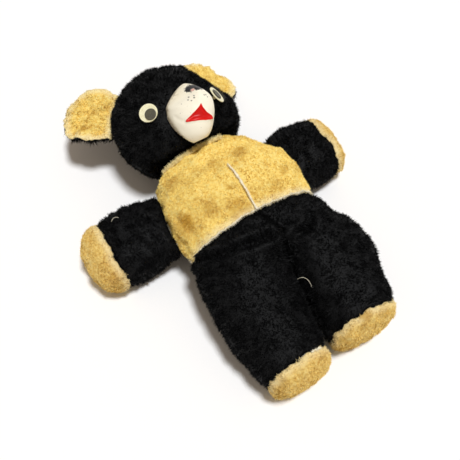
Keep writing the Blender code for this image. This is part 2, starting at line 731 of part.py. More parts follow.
def build_eye(side, root):
    """White cup on a shank, a loose pupil, a clear dome, and the washer behind the cloth."""
    sideways = EYE_SIDEWAYS[side] if side == "left" else -EYE_SIDEWAYS[side]
    frame = HEAD_FRAME @ face_frame(sideways, EYE_BELOW[side])
    floor = SEAM_GAP
    top = floor + EYE_FLOOR
    behind = -COVER - CLOTH_SLACK
    tail = behind - WASHER_THICK - SEAM_GAP
    cup = [(0.0, tail), (SHANK_RADIUS, tail), (SHANK_RADIUS, floor), (EYE_RADIUS, floor)]
    cup += [(EYE_RADIUS, top), (0.0, top)]
    turned("eye_cup_" + side, "eye_white", root, frame, cup)
    low = top + EYE_CLEARANCE
    skirt = low + EYE_DOME_SKIRT
    inner = EYE_RADIUS - EYE_DOME_WALL
    dome = [(EYE_RADIUS, low)] + dome_profile(EYE_RADIUS, EYE_DOME_RISE, skirt)
    inside = [(inner, low)] + dome_profile(inner, EYE_DOME_RISE - EYE_DOME_WALL, skirt)
    turned("eye_dome_" + side, "clear_plastic", root, frame, dome + list(reversed(inside)))
    slide = Matrix.Translation((0.0, -PUPIL_SLIDE, 0.0))
    disc = [(0.0, low), (PUPIL_RADIUS, low), (PUPIL_RADIUS, low + PUPIL_THICK), (0.0, low + PUPIL_THICK)]
    turned("eye_pupil_" + side, "eye_black", root, frame @ slide, disc)
    hole = SHANK_RADIUS + EYE_CLEARANCE
    washer = [(hole, behind - WASHER_THICK), (WASHER_RADIUS, behind - WASHER_THICK)]
    washer += [(WASHER_RADIUS, behind), (hole, behind)]
    turned("eye_washer_" + side, "washer_metal", root, frame, washer)
    bm = bmesh.new()
    prism(bm, frame, round_outline(hole), -HOLE_REACH, COVER)
    return add_cutter("shank_hole_" + side, bm, root)


def ear_point(side, across, out, height):
    """Point of an ear: across and out run over its cloth, and height is above its middle."""
    sign = 1.0 if side == "left" else -1.0
    angle = EAR_ANGLE[side]
    bend = EAR_BEND[side]
    seam_side = Vector((sign * HEAD_HALF.x * math.cos(HEAD_SEAM), 0.0, HEAD_HALF.z * math.sin(HEAD_SEAM)))
    wide = seam_side.normalized()
    long = Vector((0.0, 1.0, 0.0))
    up = wide.cross(long) * sign
    away = wide * math.sin(angle) + long * math.cos(angle)
    along = wide * math.cos(angle) - long * math.sin(angle)
    if out < EAR_WIDE_AT:
        half = EAR_BASE_HALF + (EAR_WIDE_HALF - EAR_BASE_HALF) * ease(out / EAR_WIDE_AT)
    else:
        half = EAR_WIDE_HALF * cap_share((out - EAR_WIDE_AT) / (1.0 - EAR_WIDE_AT), EAR_ROUNDNESS)
    reach_wide = seam_side.length + SEAM_GAP
    reach_long = HEAD_HALF.y + SEAM_GAP
    start = (across * half * math.cos(angle) / reach_wide, -across * half * math.sin(angle) / reach_long)
    way = (math.sin(angle) / reach_wide, math.cos(angle) / reach_long)
    cross = start[0] * way[0] + start[1] * way[1]
    square = way[0] ** 2 + way[1] ** 2
    inside = 1.0 - start[0] ** 2 - start[1] ** 2
    base = (math.sqrt(cross * cross + square * inside) - cross) / square
    middle = 1.0 / math.sqrt(square)
    reach = EAR_REACH[side] * math.sin(bend * out) / bend
    drop = EAR_REACH[side] * (1.0 - math.cos(bend * out)) / bend
    cup = EAR_CUP[side] * (across * half / EAR_WIDE_HALF) ** 2 * ease(EAR_CUP_RISE * out)
    normal = up * math.cos(bend * out) + away * math.sin(bend * out)
    place = along * across * half - up * drop
    place += away * (middle + (base - middle) * (1.0 - out) ** 2 + reach)
    return HEAD_FRAME @ (place + normal * (cup + height))


def build_ear(side, root):
    """Tan front and black back of one ear."""
    gap = 0.5 * SEAM_GAP
    rows = spaced(0.0, EAR_WIDE_AT, EAR_ROWS // 2)
    turns = spaced(0.0, 0.5 * math.pi, EAR_ROWS - EAR_ROWS // 2)[1:]
    rows += [EAR_WIDE_AT + (1.0 - EAR_WIDE_AT) * math.sin(turn) for turn in turns]
    columns = spaced(-1.0, 1.0, EAR_COLUMNS)
    for name, finish, sign in (("ear_front_", "tan_plush", 1.0), ("ear_back_", "black_plush", -1.0)):

        def surface(out, across, depth, sign=sign):
            height = sign * (gap + EAR_CLOTH * (1.0 - depth / COVER))
            return ear_point(side, across, out, height)

        build_panel(name + side, finish, root, surface, rows, columns)


def build_head(root):
    """Head front and back, their stuffing, the muzzle and the eyes."""
    cutters = [build_muzzle(root)] + [build_eye(side, root) for side in ("left", "right")]
    rows = spaced(0.0, math.pi, HEAD_ROWS)
    gap = 0.5 * SEAM_GAP

    def front(turn, angle, depth):
        return head_point(turn, angle, depth, gap)

    def back(turn, angle, depth):
        return head_point(turn, angle, depth, -gap)

    upper = spaced(HEAD_SEAM, math.pi - HEAD_SEAM, HEAD_COLUMNS)
    lower = spaced(math.pi - HEAD_SEAM, 2.0 * math.pi + HEAD_SEAM, HEAD_COLUMNS)
    head_front = build_panel("head_front", "black_plush", root, front, rows, upper)
    head_back = build_panel("head_back", "black_plush", root, back, rows, lower)
    bm = bmesh.new()
    wide, tall = neck_room()
    outline = [(wide * x, tall * y) for x, y in round_outline(1.0, MUZZLE_TURNS)]
    neck = Matrix.Translation((0.0, NECK_Y, neck_middle())) @ Matrix.Rotation(-math.pi / 2.0, 4, "X")
    prism(bm, neck, outline, -COVER, HOLE_REACH)
    neck_hole = add_cutter("neck_hole", bm, root)
    for cutter in cutters + [neck_hole]:
        cut(head_front, cutter)
    cut(head_back, neck_hole)
    depth = COVER + STUFFING_GAP
    front_room = FLANGE_SLACK + FLANGE_THICK + 2.0 * SEAM_GAP
    rings = []
    for turn in rows[1:-1:2]:
        ring = []
        for angle in spaced(0.0, 2.0 * math.pi, HEAD_COLUMNS)[:-1]:
            room = front_room * ease(FACE_ROOM_RISE * math.sin(angle) * math.sin(turn))
            ring.append(head_point(turn, angle, depth + room, slope=0.0))
        rings.append(ring)
    build_wad("head_stuffing", root, rings)


def neck_middle():
    """Height of the middle of the neck."""
    return 0.5 * (CHEST_TOP - SETTLE)


def neck_room():
    """Half width and half height of the opening between the torso and the head."""
    tall = 0.5 * (CHEST_TOP + SETTLE) * NECK_HALF / CHEST_HALF
    return NECK_HALF - COVER, tall - COVER


def build_body_stuffing(root):
    """Stuffing of the torso and hips, with the plug that fills the neck."""
    depth = COVER + STUFFING_GAP
    turns = spaced(-1.0, 1.0, TORSO_TURNS // 4)
    rings = []
    for y in (CROTCH_Y + 0.5 * SEAM_GAP, 0.5 * (CROTCH_Y + WAIST_Y)):
        ring = [leg_point("left", y, turn, depth) for turn in turns]
        ring += [leg_point("right", y, turn, depth) for turn in reversed(turns[1:-1])]
        rings.append(ring)
    loop = spaced(-0.5 * math.pi, 1.5 * math.pi, TORSO_TURNS // 2)[:-1]
    rows = spaced(WAIST_Y, CHEST_Y, TORSO_ROWS) + neck_rows()
    rings += [[torso_point(y, angle, depth) for angle in loop] for y in rows]
    wide, tall = (room - STUFFING_GAP for room in neck_room())
    for y in (NECK_Y - COVER, NECK_Y + COVER + SEAM_GAP):
        ring = [(wide * math.cos(angle), y, neck_middle() + tall * math.sin(angle)) for angle in loop]
        rings.append([Vector(place) for place in ring])
    build_wad("body_stuffing", root, rings)


def build_bear():
    """Builds every piece of the bear under one empty."""
    root = bpy.data.objects.new("bear", None)
    bpy.context.collection.objects.link(root)
    build_torso(root)
    build_legs(root)
    build_arms(root)
    build_head(root)
    for side in ("left", "right"):
        build_ear(side, root)
    build_body_stuffing(root)


clear_scene()
build_bear()
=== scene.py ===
"""Looks of an old two-tone plush bear that lies on its back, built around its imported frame.

Every length is in metres. The bear's left is +X, its head is towards +Y and its front faces +Z.
"""

from __future__ import annotations

import logging
import math
from dataclasses import dataclass, field, replace
from enum import Enum
from typing import Callable, Optional, Sequence, Union

import bmesh
import bpy
from mathutils import Matrix, Vector, kdtree, noise


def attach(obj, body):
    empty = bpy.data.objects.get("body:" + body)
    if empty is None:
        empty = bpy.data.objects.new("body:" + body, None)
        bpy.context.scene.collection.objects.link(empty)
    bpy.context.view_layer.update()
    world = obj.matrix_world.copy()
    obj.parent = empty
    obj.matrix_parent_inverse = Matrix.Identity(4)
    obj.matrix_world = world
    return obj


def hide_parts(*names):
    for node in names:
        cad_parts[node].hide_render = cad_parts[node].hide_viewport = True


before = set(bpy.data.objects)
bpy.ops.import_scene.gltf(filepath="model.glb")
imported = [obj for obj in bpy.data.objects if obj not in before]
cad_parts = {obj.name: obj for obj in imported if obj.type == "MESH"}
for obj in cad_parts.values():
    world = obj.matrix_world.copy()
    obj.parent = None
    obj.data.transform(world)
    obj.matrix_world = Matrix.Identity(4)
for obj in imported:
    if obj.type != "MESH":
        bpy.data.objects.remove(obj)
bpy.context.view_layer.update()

LOG = logging.getLogger("bear")
MM = 0.001
SEAM_GAP = 0.3 * MM
SETTLE = 5.0 * MM
COVER = 4.0 * MM
INSIDE = 10.5 * MM
WELD = 0.01 * MM
FLOOR_SKIN = 0.6 * MM
NOISE_SEED = 7

Colour = tuple[float, float, float, float]
Triple = tuple[float, float, float]
Surface = Callable[[float, float, float], Vector]
Keep = Callable[[float, float], bool]


class Side(Enum):
    """The bear's own left and right, with the sign of X there."""

    LEFT = ("left", 1.0)
    RIGHT = ("right", -1.0)

    @property
    def word(self) -> str:
        """The side's name as the frame's nodes use it."""
        return self.value[0]

    @property
    def sign(self) -> float:
        """1 on the bear's left and -1 on its right."""
        return self.value[1]


class Slot(Enum):
    """Material slots of the record."""

    BLACK = "black_plush"
    TAN = "tan_plush"
    STUFFING = "stuffing"
    MOULDED = "moulded_white"
    EYE_WHITE = "eye_white"
    EYE_BLACK = "eye_black"
    CLEAR = "clear_plastic"
    WASHER = "washer_metal"


def spaced(first: float, last: float, count: int) -> list[float]:
    """Evenly spaced values from first to last, both included."""
    return [first + (last - first) * step / count for step in range(count + 1)]


def power(value: float, exponent: float) -> float:
    """Power of a number that keeps the number's sign."""
    return math.copysign(abs(value) ** exponent, value)


def ease(value: float) -> float:
    """Smooth step from 0 to 1."""
    value = min(max(value, 0.0), 1.0)
    return value * value * (3.0 - 2.0 * value)


def follow(stations: Sequence[Sequence[float]], at: float) -> list[float]:
    """Smooth values between stations.

    Args:
        stations: rows of a place followed by the values there.
        at: the place asked for.

    Returns:
        The values at that place.
    """
    last = len(stations) - 1
    at = min(max(at, stations[0][0]), stations[last][0])
    low = max(index for index in range(last) if stations[index][0] <= at)
    span = stations[low + 1][0] - stations[low][0]
    part = (at - stations[low][0]) / span
    values = []
    for column in range(1, len(stations[0])):
        slopes = []
        for index in (low, low + 1):
            before = stations[max(index - 1, 0)]
            after = stations[min(index + 1, last)]
            slopes.append((after[column] - before[column]) / (after[0] - before[0]) * span)
        value = (2.0 * part**3 - 3.0 * part**2 + 1.0) * stations[low][column]
        value += (3.0 * part**2 - 2.0 * part**3) * stations[low + 1][column]
        value += (part**3 - 2.0 * part**2 + part) * slopes[0] + (part**3 - part**2) * slopes[1]
        values.append(value)
    return values


def cap_share(part: float, roundness: float) -> float:
    """How much of a section is left at a part of the way into its rounded end."""
    return max(1.0 - min(abs(part), 1.0) ** roundness, 0.0) ** (1.0 / roundness)


def cap_places(first: float, last: float, roundness: float, count: int) -> list[float]:
    """Places along a rounded end, closer together towards its tip."""
    turns = spaced(0.0, math.pi / 2.0, count)[1:]
    return [first + (last - first) * math.sin(turn) ** (2.0 / roundness) for turn in turns]


def section_point(
    angle: float, section: Sequence[float], roundness: float, depth: float, share: float = 1.0
) -> tuple[float, float]:
    """Place across and up on a stuffed section that lies on the floor.

    Args:
        angle: turn round the section.
        section: half width, lowest and highest point.
        roundness: exponent of the section's outline.
        depth: how far under the outer face.
        share: how much of the section is left near a rounded end.

    Returns:
        The place across and the height.
    """
    half, low, top = section
    middle = 0.5 * (low + top)
    tall = 0.5 * (top - low)
    across = (half - depth) * share * power(math.cos(angle), 2.0 / roundness)
    up = middle + (tall - depth) * share * power(math.sin(angle), 2.0 / roundness)
    return across, max(up, depth)


def bumps(place: Vector, size: float, seed: float) -> float:
    """Smooth noise about 0, with lumps of a size."""
    return noise.noise(place / size + Vector((seed, 1.7 * seed, -seed)))


@dataclass(frozen=True)
class Wire:
    """A node's output that takes part in Python sums."""

    graph: "Graph"
    socket: bpy.types.NodeSocket

    def sum(self, operation: str, first: "Value", second: "Value" = 0.0) -> "Wire":
        """One Math node over two values."""
        return self.graph.node("ShaderNodeMath", {"operation": operation}, {0: first, 1: second})

    def __add__(self, other: "Value") -> "Wire":
        """Sum."""
        return self.sum("ADD", self, other)

    def __radd__(self, other: "Value") -> "Wire":
        """Sum, with the wire second."""
        return self.sum("ADD", other, self)

    def __sub__(self, other: "Value") -> "Wire":
        """Difference."""
        return self.sum("SUBTRACT", self, other)

    def __rsub__(self, other: "Value") -> "Wire":
        """Difference, with the wire second."""
        return self.sum("SUBTRACT", other, self)

    def __mul__(self, other: "Value") -> "Wire":
        """Product."""
        return self.sum("MULTIPLY", self, other)

    def __rmul__(self, other: "Value") -> "Wire":
        """Product, with the wire second."""
        return self.sum("MULTIPLY", other, self)

    def most(self, other: "Value") -> "Wire":
        """The larger of two values."""
        return self.sum("MAXIMUM", self, other)

    def least(self, other: "Value") -> "Wire":
        """The smaller of two values."""
        return self.sum("MINIMUM", self, other)

    def smooth(self, low: float, high: float) -> "Wire":
        """Smooth step from 0 at low to 1 at high."""
        return self.graph.node(
            "ShaderNodeMapRange",
            {"interpolation_type": "SMOOTHSTEP"},
            {"Value": self, "From Min": low, "From Max": high},
        )


Value = Union[Wire, float, int, Sequence[float], bpy.types.Material, str]


class Graph:
    """Adds nodes to a shader tree or a geometry tree."""

    def __init__(self, tree: bpy.types.NodeTree) -> None:
        """Keeps the tree that the nodes go in."""
        self.tree = tree

    def node(
        self,
        kind: str,
        settings: Optional[dict] = None,
        sockets: Optional[dict] = None,
        output: Union[int, str] = 0,
    ) -> Wire:
        """Adds one node.

        Args:
            kind: the node's type.
            settings: its own settings, with a ramp's stops under "stops".
            sockets: values or wires of its inputs, by name or number.
            output: which output is wanted.

        Returns:
            The wanted output.
        """
        item = self.tree.nodes.new(kind)
        for name, value in (settings or {}).items():
            if name == "stops":
                self.set_stops(item.color_ramp, value)
            else:
                setattr(item, name, value)
        for key, value in (sockets or {}).items():
            self.feed(item.inputs[key], value)
        return Wire(self, item.outputs[output])

    def set_stops(self, ramp: bpy.types.ColorRamp, stops: Sequence[tuple[float, Colour]]) -> None:
        """Sets a ramp's stops, given as places and colours."""
        while len(ramp.elements) < len(stops):
            ramp.elements.new(1.0)
        for element, (place, colour) in zip(ramp.elements, stops):
            element.position = place
            element.color = colour

    def feed(self, socket: bpy.types.NodeSocket, value: Value) -> None:
        """Links a wire to a socket, or sets the socket's own value."""
        if isinstance(value, Wire):
            self.tree.links.new(value.socket, socket)
        else:
            socket.default_value = value

    def vector(self, operation: str, first: Value, second: Value, output: int = 0) -> Wire:
        """One Vector Math node over two vectors."""
        return self.node("ShaderNodeVectorMath", {"operation": operation}, {0: first, 1: second}, output)

    def scaled(self, first: Value, factor: Value) -> Wire:
        """A vector times a number."""
        return self.node("ShaderNodeVectorMath", {"operation": "SCALE"}, {0: first, "Scale": factor})


class Recipe(Graph):
    """The nodes of one material round its main shader."""

    def __init__(self, name: str) -> None:
        """Makes the material and keeps its shader and its place on the object."""
        self.material = bpy.data.materials.new(name)
        self.material.use_nodes = True
        super().__init__(self.material.node_tree)
        self.shader = self.tree.nodes["Principled BSDF"]
        self.place = self.node("ShaderNodeTexCoord", output="Object")

    def noise(self, size: float, detail: float = 2.0, roughness: float = 0.5, where: Value = None) -> Wire:
        """Noise with features of a size, about 0.5."""
        sockets = {"Vector": where or self.place, "Scale": 1.0 / size, "Detail": detail}
        sockets["Roughness"] = roughness
        return self.node("ShaderNodeTexNoise", {}, sockets)

    def mix(self, factor: Value, first: Value, second: Value, blend: str = "MIX") -> Wire:
        """Two colours mixed."""
        settings = {"data_type": "RGBA", "blend_type": blend}
        return self.node("ShaderNodeMix", settings, {0: factor, 6: first, 7: second}, 2)

    def attribute(self, name: str, output: str = "Fac") -> Wire:
        """A value kept on the mesh."""
        return self.node("ShaderNodeAttribute", {"attribute_name": name}, output=output)

    def near(self, centre: Triple, radius: float, ragged: Value, where: Value = None) -> Wire:
        """Mask of a soft spot, 1 in its middle."""
        away = self.vector("DISTANCE", where or self.place, centre, 1)
        return 1.0 - (away + (ragged - 0.5) * radius).smooth(0.35 * radius, radius)

    def bump(self, height: Wire, distance: float, strength: float = 1.0) -> Wire:
        """A bumpy normal from a height that runs from 0 to 1 over a distance."""
        sockets = {"Height": height, "Distance": distance, "Strength": strength}
        return self.node("ShaderNodeBump", {}, sockets, "Normal")

    def constant(self, **values: Value) -> None:
        """Sets what is the same all over on the shader's own sockets."""
        for name, value in values.items():
            self.shader.inputs[name.replace("_", " ").title().replace("Ior", "IOR")].default_value = value

    def finish(self, **wires: Wire) -> bpy.types.Material:
        """Links what changes over the surface and gives the material."""
        for name, wire in wires.items():
            self.feed(self.shader.inputs[name.replace("_", " ").title()], wire)
        return self.material


@dataclass(frozen=True)
class Spot:
    """A stain, with its middle, its radius and how strong it is."""

    centre: Triple
    radius: float
    strength: float


@dataclass(frozen=True)
class Plush:
    """Matted pile and the cloth it stands on."""

    name: str
    slot: Slot
    # deep: painted shade deep in the pile, at the tufts' roots and on the bare cloth
    deep: Colour
    body: Colour
    # the tip colour: a painted highlight on the tufts' tips
    bright: Colour
    faded: Colour
    stain: Colour
    mottle: float
    fade: float
    roughness: float
    sheen: float
    gloss: float
    stains: tuple[Spot, ...] = ()

    def paint(self) -> bpy.types.Material:
        """Makes the material that the cloth and its pile share."""
        recipe = Recipe(self.name)
        fine = recipe.noise(self.mottle, 3.0, 0.6)
        broad = recipe.noise(9.0 * self.mottle, 2.0, 0.5)
        tip = recipe.attribute("tip")
        seam = recipe.attribute("seam")
        veins = recipe.noise(2.6 * self.mottle, 3.0, 0.6)
        # Painted shade: darker towards each tuft's root.
        colour = recipe.mix(tip.smooth(0.0, 0.6), self.deep, self.body)
        # Painted highlight on the tufts' tips, in random patches.
        colour = recipe.mix(fine.smooth(0.47, 0.66) * tip, colour, self.bright)
        # Random dark patches in the root colour.
        colour = recipe.mix((1.0 - fine).smooth(0.50, 0.66) * 0.75, colour, self.deep)
        # Darker along thin random lines, in broad patches.
        vein_lines = 1.0 - ((veins - 0.5) * (veins - 0.5) * 900.0).least(1.0)
        colour = recipe.mix(vein_lines * broad.smooth(0.40, 0.60) * 0.5, colour, self.stain, "MULTIPLY")
        colour = recipe.mix(broad.smooth(0.52, 0.70) * 0.35, colour, self.stain, "MULTIPLY")
        colour = recipe.mix((1.0 - seam.smooth(0.0, 1.0)) * self.fade, colour, self.faded)
        if self.stains:
            ragged = recipe.noise(6.0 * MM, 3.0, 0.6)
            dirt = None
            for spot in self.stains:
                mask = recipe.near(spot.centre, spot.radius, ragged) * spot.strength
                dirt = mask if dirt is None else dirt.most(mask)
            colour = recipe.mix(dirt, colour, self.stain, "MULTIPLY")
        recipe.constant(roughness=self.roughness, sheen_weight=self.sheen, sheen_roughness=0.45)
        recipe.constant(specular_ior_level=self.gloss)
        height = recipe.noise(1.1 * MM, 4.0, 0.7)
        return recipe.finish(base_color=colour, normal=recipe.bump(height, 0.5 * MM, 0.8))


@dataclass(frozen=True)
class Moulding:
    """Old white moulded plastic with worn paint: a nose, freckles and a red mouth."""

    name: str
    white: Colour = (0.96, 0.915, 0.76, 1.0)
    yellowed: Colour = (0.74, 0.66, 0.48, 1.0)
    grime: Colour = (0.20, 0.16, 0.11, 1.0)
    black: Colour = (0.012, 0.011, 0.012, 1.0)
    red: Colour = (0.70, 0.008, 0.005, 1.0)
    dark_red: Colour = (0.30, 0.003, 0.003, 1.0)
    pink: Colour = (0.75, 0.33, 0.28, 1.0)
    freckles: tuple[tuple[float, float, float], ...] = (
        (-2.1, 7.6, 0.75),
        (2.0, 7.2, 0.65),
        (-4.0, 3.7, 0.65),
        (1.4, 4.4, 0.75),
        (-1.8, 1.6, 0.60),
        (11.2, 6.3, 0.60),
        (13.2, 6.8, 0.60),
        (14.2, 4.6, 0.50),
        (-10.5, 0.5, 0.35),
        (-13.0, -8.0, 0.30),
    )

    def paint(self) -> bpy.types.Material:
        """Makes the material, with its paint placed by values kept on the mesh."""
        recipe = Recipe(self.name)
        spot_size = recipe.noise(3.0 * MM, 3.0, 0.6)
        cloud = recipe.noise(13.0 * MM, 3.0, 0.55)
        face = recipe.attribute("face_place", "Vector")
        mouth = recipe.attribute("mouth")
        nose = recipe.attribute("nose")
        rim = recipe.attribute("rim")
        colour = recipe.mix(cloud.smooth(0.45, 0.72) * 0.2, self.white, self.yellowed)
        colour = recipe.mix(rim * 0.75, colour, self.yellowed)
        colour = recipe.mix(rim.smooth(0.6, 1.0) * spot_size.smooth(0.45, 0.6) * 0.5, colour, self.grime)
        speck = recipe.noise(1.3 * MM, 1.0, 0.5)
        colour = recipe.mix(speck.smooth(0.745, 0.78) * 0.6, colour, self.grime)
        flake = recipe.noise(1.7 * MM, 3.0, 0.65)
        blob = (nose + (flake - 0.5) * 6.0).smooth(-0.2, 0.2)
        worn = (flake + (spot_size - 0.5) * 0.6).smooth(0.72, 0.76)
        worn = worn.most(recipe.near((3.4, 14.4, 0.0), 1.9, flake, face))
        colour = recipe.mix(recipe.near((3.4, 14.4, 0.0), 2.0, flake, face) * 0.8, colour, self.pink)
        colour = recipe.mix(blob * (1.0 - worn), colour, self.black)
        for across, up, radius in self.freckles:
            away = recipe.vector("DISTANCE", face, (across, up, 0.0), 1)
            dot = 1.0 - (away + (flake - 0.5) * 0.5).smooth(radius - 0.15, radius + 0.15)
            colour = recipe.mix(dot, colour, self.black)
        ragged = (spot_size - 0.5) * 0.6
        inside = (mouth + ragged).smooth(-0.12, 0.12)
        deep = (mouth + ragged * 2.0).smooth(1.2, 3.2) * 0.35
        colour = recipe.mix(inside, colour, recipe.mix(deep, self.red, self.dark_red))
        recipe.constant(specular_ior_level=0.16)
        gloss = 0.36 + cloud * 0.16 - inside * 0.14
        height = recipe.noise(2.4 * MM, 3.0, 0.5)
        return recipe.finish(base_color=colour, roughness=gloss, normal=recipe.bump(height, 0.15 * MM, 0.5))


@dataclass(frozen=True)
class Plastic:
    """Plain hard plastic or metal with fine scratches."""

    name: str
    colour: Colour
    aged: Colour
    roughness: float
    metallic: float = 0.0
    scratch: float = 0.5

    def paint(self) -> bpy.types.Material:
        """Makes the material."""
        recipe = Recipe(self.name)
        cloud = recipe.noise(4.0 * MM, 3.0, 0.6)
        stretched = recipe.vector("MULTIPLY", recipe.place, (1.0, 6.0, 1.0))
        scratches = recipe.noise(1.6 * MM, 4.0, 0.7, stretched)
        colour = recipe.mix(cloud.smooth(0.4, 0.75) * 0.7, self.colour, self.aged)
        colour = recipe.mix(scratches.smooth(0.60, 0.72) * self.scratch, colour, self.aged)
        recipe.constant(metallic=self.metallic)
        gloss = self.roughness + scratches * 0.15
        return recipe.finish(base_color=colour, roughness=gloss, normal=recipe.bump(scratches, 0.05 * MM, 0.4))


@dataclass(frozen=True)
class ClearDome:
    """Thin clear plastic, a little scuffed."""

    name: str
    haze: float = 0.015

    def paint(self) -> bpy.types.Material:
        """Makes the material, which is mostly see-through."""
        recipe = Recipe(self.name)
        scuff = recipe.noise(2.0 * MM, 4.0, 0.7)
        recipe.constant(base_color=(0.60, 0.58, 0.46, 1.0), specular_ior_level=0.3)
        alpha = self.haze + scuff.smooth(0.58, 0.75) * 0.03
        return recipe.finish(alpha=alpha, roughness=0.12 + scuff * 0.15)


@dataclass(frozen=True)
class Fibre:
    """Loose fibre: sewing thread, lint, cut cloth edges or stuffing."""

    name: str
    colour: Colour
    shade: Colour
    size: float = 1.2 * MM

    def paint(self) -> bpy.types.Material:
        """Makes the material."""
        recipe = Recipe(self.name)
        tufts = recipe.noise(self.size, 4.0, 0.65)
        recipe.constant(roughness=0.9, sheen_weight=0.2)
        colour = recipe.mix(tufts.smooth(0.35, 0.65), self.shade, self.colour)
        return recipe.finish(base_color=colour, normal=recipe.bump(tufts, 0.3 * MM, 0.8))


BLACK_PLUSH = Plush(
    name="matted_black_plush",
    slot=Slot.BLACK,
    # Root colour: painted shade in the pile; tip colour: painted highlight.
    deep=(0.0005, 0.0005, 0.0006, 1.0),
    body=(0.0016, 0.0016, 0.0017, 1.0),
    bright=(0.020, 0.020, 0.021, 1.0),
    faded=(0.006, 0.0055, 0.005, 1.0),
    stain=(0.88, 0.87, 0.86, 1.0),
    mottle=0.9 * MM,
    fade=0.15,
    roughness=0.50,
    sheen=0.0,
    gloss=0.09,
)

TAN_PLUSH = Plush(
    name="worn_tan_plush",
    slot=Slot.TAN,
    # Root colour: painted shade in the pile; tip colour: painted highlight.
    deep=(0.76, 0.50, 0.105, 1.0),
    body=(1.0, 0.80, 0.240, 1.0),
    bright=(1.0, 0.92, 0.45, 1.0),
    faded=(0.97, 0.88, 0.58, 1.0),
    stain=(0.66, 0.50, 0.22, 1.0),
    mottle=2.6 * MM,
    fade=0.6,
    roughness=0.8,
    sheen=0.1,
    gloss=0.2,
    stains=(
        Spot((-0.0600, -0.0060, 0.0680), 17.0 * MM, 0.65),
        Spot((-0.0580, -0.0050, 0.0710), 12.0 * MM, 0.95),
        Spot((-0.0680, -0.0180, 0.0560), 5.0 * MM, 0.9),
        Spot((-0.0140, -0.0240, 0.0830), 15.0 * MM, 0.6),
        Spot((0.0180, 0.0300, 0.0820), 13.0 * MM, 0.5),
        Spot((-0.0350, -0.0100, 0.0830), 10.0 * MM, 0.4),
        Spot((0.0300, -0.0200, 0.0810), 12.0 * MM, 0.4),
        Spot((0.0230, 0.0340, 0.0790), 6.0 * MM, 0.9),
        Spot((0.0200, 0.0220, 0.0840), 5.0 * MM, 0.8),
        Spot((0.0080, 0.0200, 0.0880), 3.5 * MM, 0.9),
        Spot((-0.0120, -0.0040, 0.0890), 4.0 * MM, 0.8),
        Spot((0.0440, -0.0080, 0.0780), 7.0 * MM, 0.6),
        Spot((-0.0730, 0.1700, 0.0500), 7.0 * MM, 0.8),
        Spot((-0.0880, 0.1560, 0.0500), 7.0 * MM, 0.7),
        Spot((0.0300, -0.1560, 0.0560), 8.0 * MM, 0.8),
    ),
)

LIMB_TAN = replace(
    TAN_PLUSH,
    name="soiled_tan_plush",
    # Root colour: painted shade in the pile; tip colour: painted highlight.
    deep=(0.58, 0.36, 0.080, 1.0),
    body=(0.88, 0.66, 0.205, 1.0),
    bright=(0.96, 0.82, 0.38, 1.0),
    faded=(0.92, 0.80, 0.48, 1.0),
    stains=TAN_PLUSH.stains[-3:],
)

STUFFING = Fibre("old_stuffing", (0.76, 0.72, 0.62, 1.0), (0.52, 0.47, 0.38, 1.0), 3.0 * MM)
THREAD = Fibre("pale_thread", (1.0, 0.96, 0.82, 1.0), (0.92, 0.84, 0.60, 1.0), 0.8 * MM)
MOULDING = Moulding("painted_moulding")
EYE_WHITE = Plastic("yellowed_eye_plastic", (0.93, 0.89, 0.62, 1.0), (0.74, 0.68, 0.40, 1.0), 0.30, 0.0, 0.2)
EYE_BLACK = Plastic("scuffed_pupil", (0.030, 0.025, 0.010, 1.0), (0.075, 0.062, 0.026, 1.0), 0.45, 0.0, 0.7)
WASHER = Plastic("washer_steel", (0.55, 0.55, 0.56, 1.0), (0.34, 0.31, 0.28, 1.0), 0.35, 1.0, 0.6)
CLEAR = ClearDome("scuffed_clear_dome")


@dataclass(frozen=True)
class Crease:
    """A fold pressed into the cloth along a line, with a soft ridge at each side."""

    path: tuple[Triple, ...]
    depth: float
    width: float
    ridge: float = 0.35

    def height(self, place: Vector) -> float:
        """How far the fold lifts the cloth at a place."""
        away = min(
            (place - self.nearest(place, Vector(first), Vector(second))).length
            for first, second in zip(self.path, self.path[1:])
        )
        away /= self.width
        groove = math.exp(-away * away)
        ridge = math.exp(-((away - 2.1) ** 2)) * self.ridge
        return self.depth * (ridge - groove)

    @staticmethod
    def nearest(place: Vector, first: Vector, second: Vector) -> Vector:
        """The nearest point of a straight piece of the fold."""
        way = second - first
        part = min(max((place - first).dot(way) / way.dot(way), 0.0), 1.0)
        return first + way * part


@dataclass(frozen=True)
class Wander:
    """A seam that was sewn unevenly, so that it wanders along a direction."""

    middle: Triple
    along: Triple
    amount: float
    reach: float
    size: float
    seed: float

    def shift(self, place: Vector) -> Vector:
        """How far the seam carries a place with it."""
        way = Vector(self.along)
        off = (place - Vector(self.middle)).dot(way)
        flat = place - way * off
        swing = 0.7 * bumps(flat, self.size, self.seed) + 0.5 * bumps(flat, 0.36 * self.size, self.seed + 4.0)
        return way * self.amount * 1.6 * swing * math.exp(-((off / self.reach) ** 2))


@dataclass(frozen=True)
class Cloth:
    """How a sewn panel's cloth lies under the CAD's outer face."""

    sink: float = 2.2 * MM
    thickness: float = 1.2 * MM
    dip: float = 1.5 * MM
    dip_width: float = 4.5 * MM
    lump: float = 0.9 * MM
    lump_size: float = 17.0 * MM
    pucker: float = 0.55 * MM
    pucker_pitch: float = 8.0 * MM
    deepest: float = 3.0 * MM
    edge_comb: float = 0.9
    comb: Triple = (0.0, -0.25, 0.0)
    swirl: float = 0.7
    swirl_size: float = 8.0 * MM
    shag: float = 0.55
    shag_size: float = 5.0 * MM
    creases: tuple[Crease, ...] = ()
    wanders: tuple[Wander, ...] = ()


@dataclass(frozen=True)
class Pile:
    """How the pile stands on a cloth."""

    density: float
    length: float
    width: float
    clump: float
    pull: float
    scatter: float


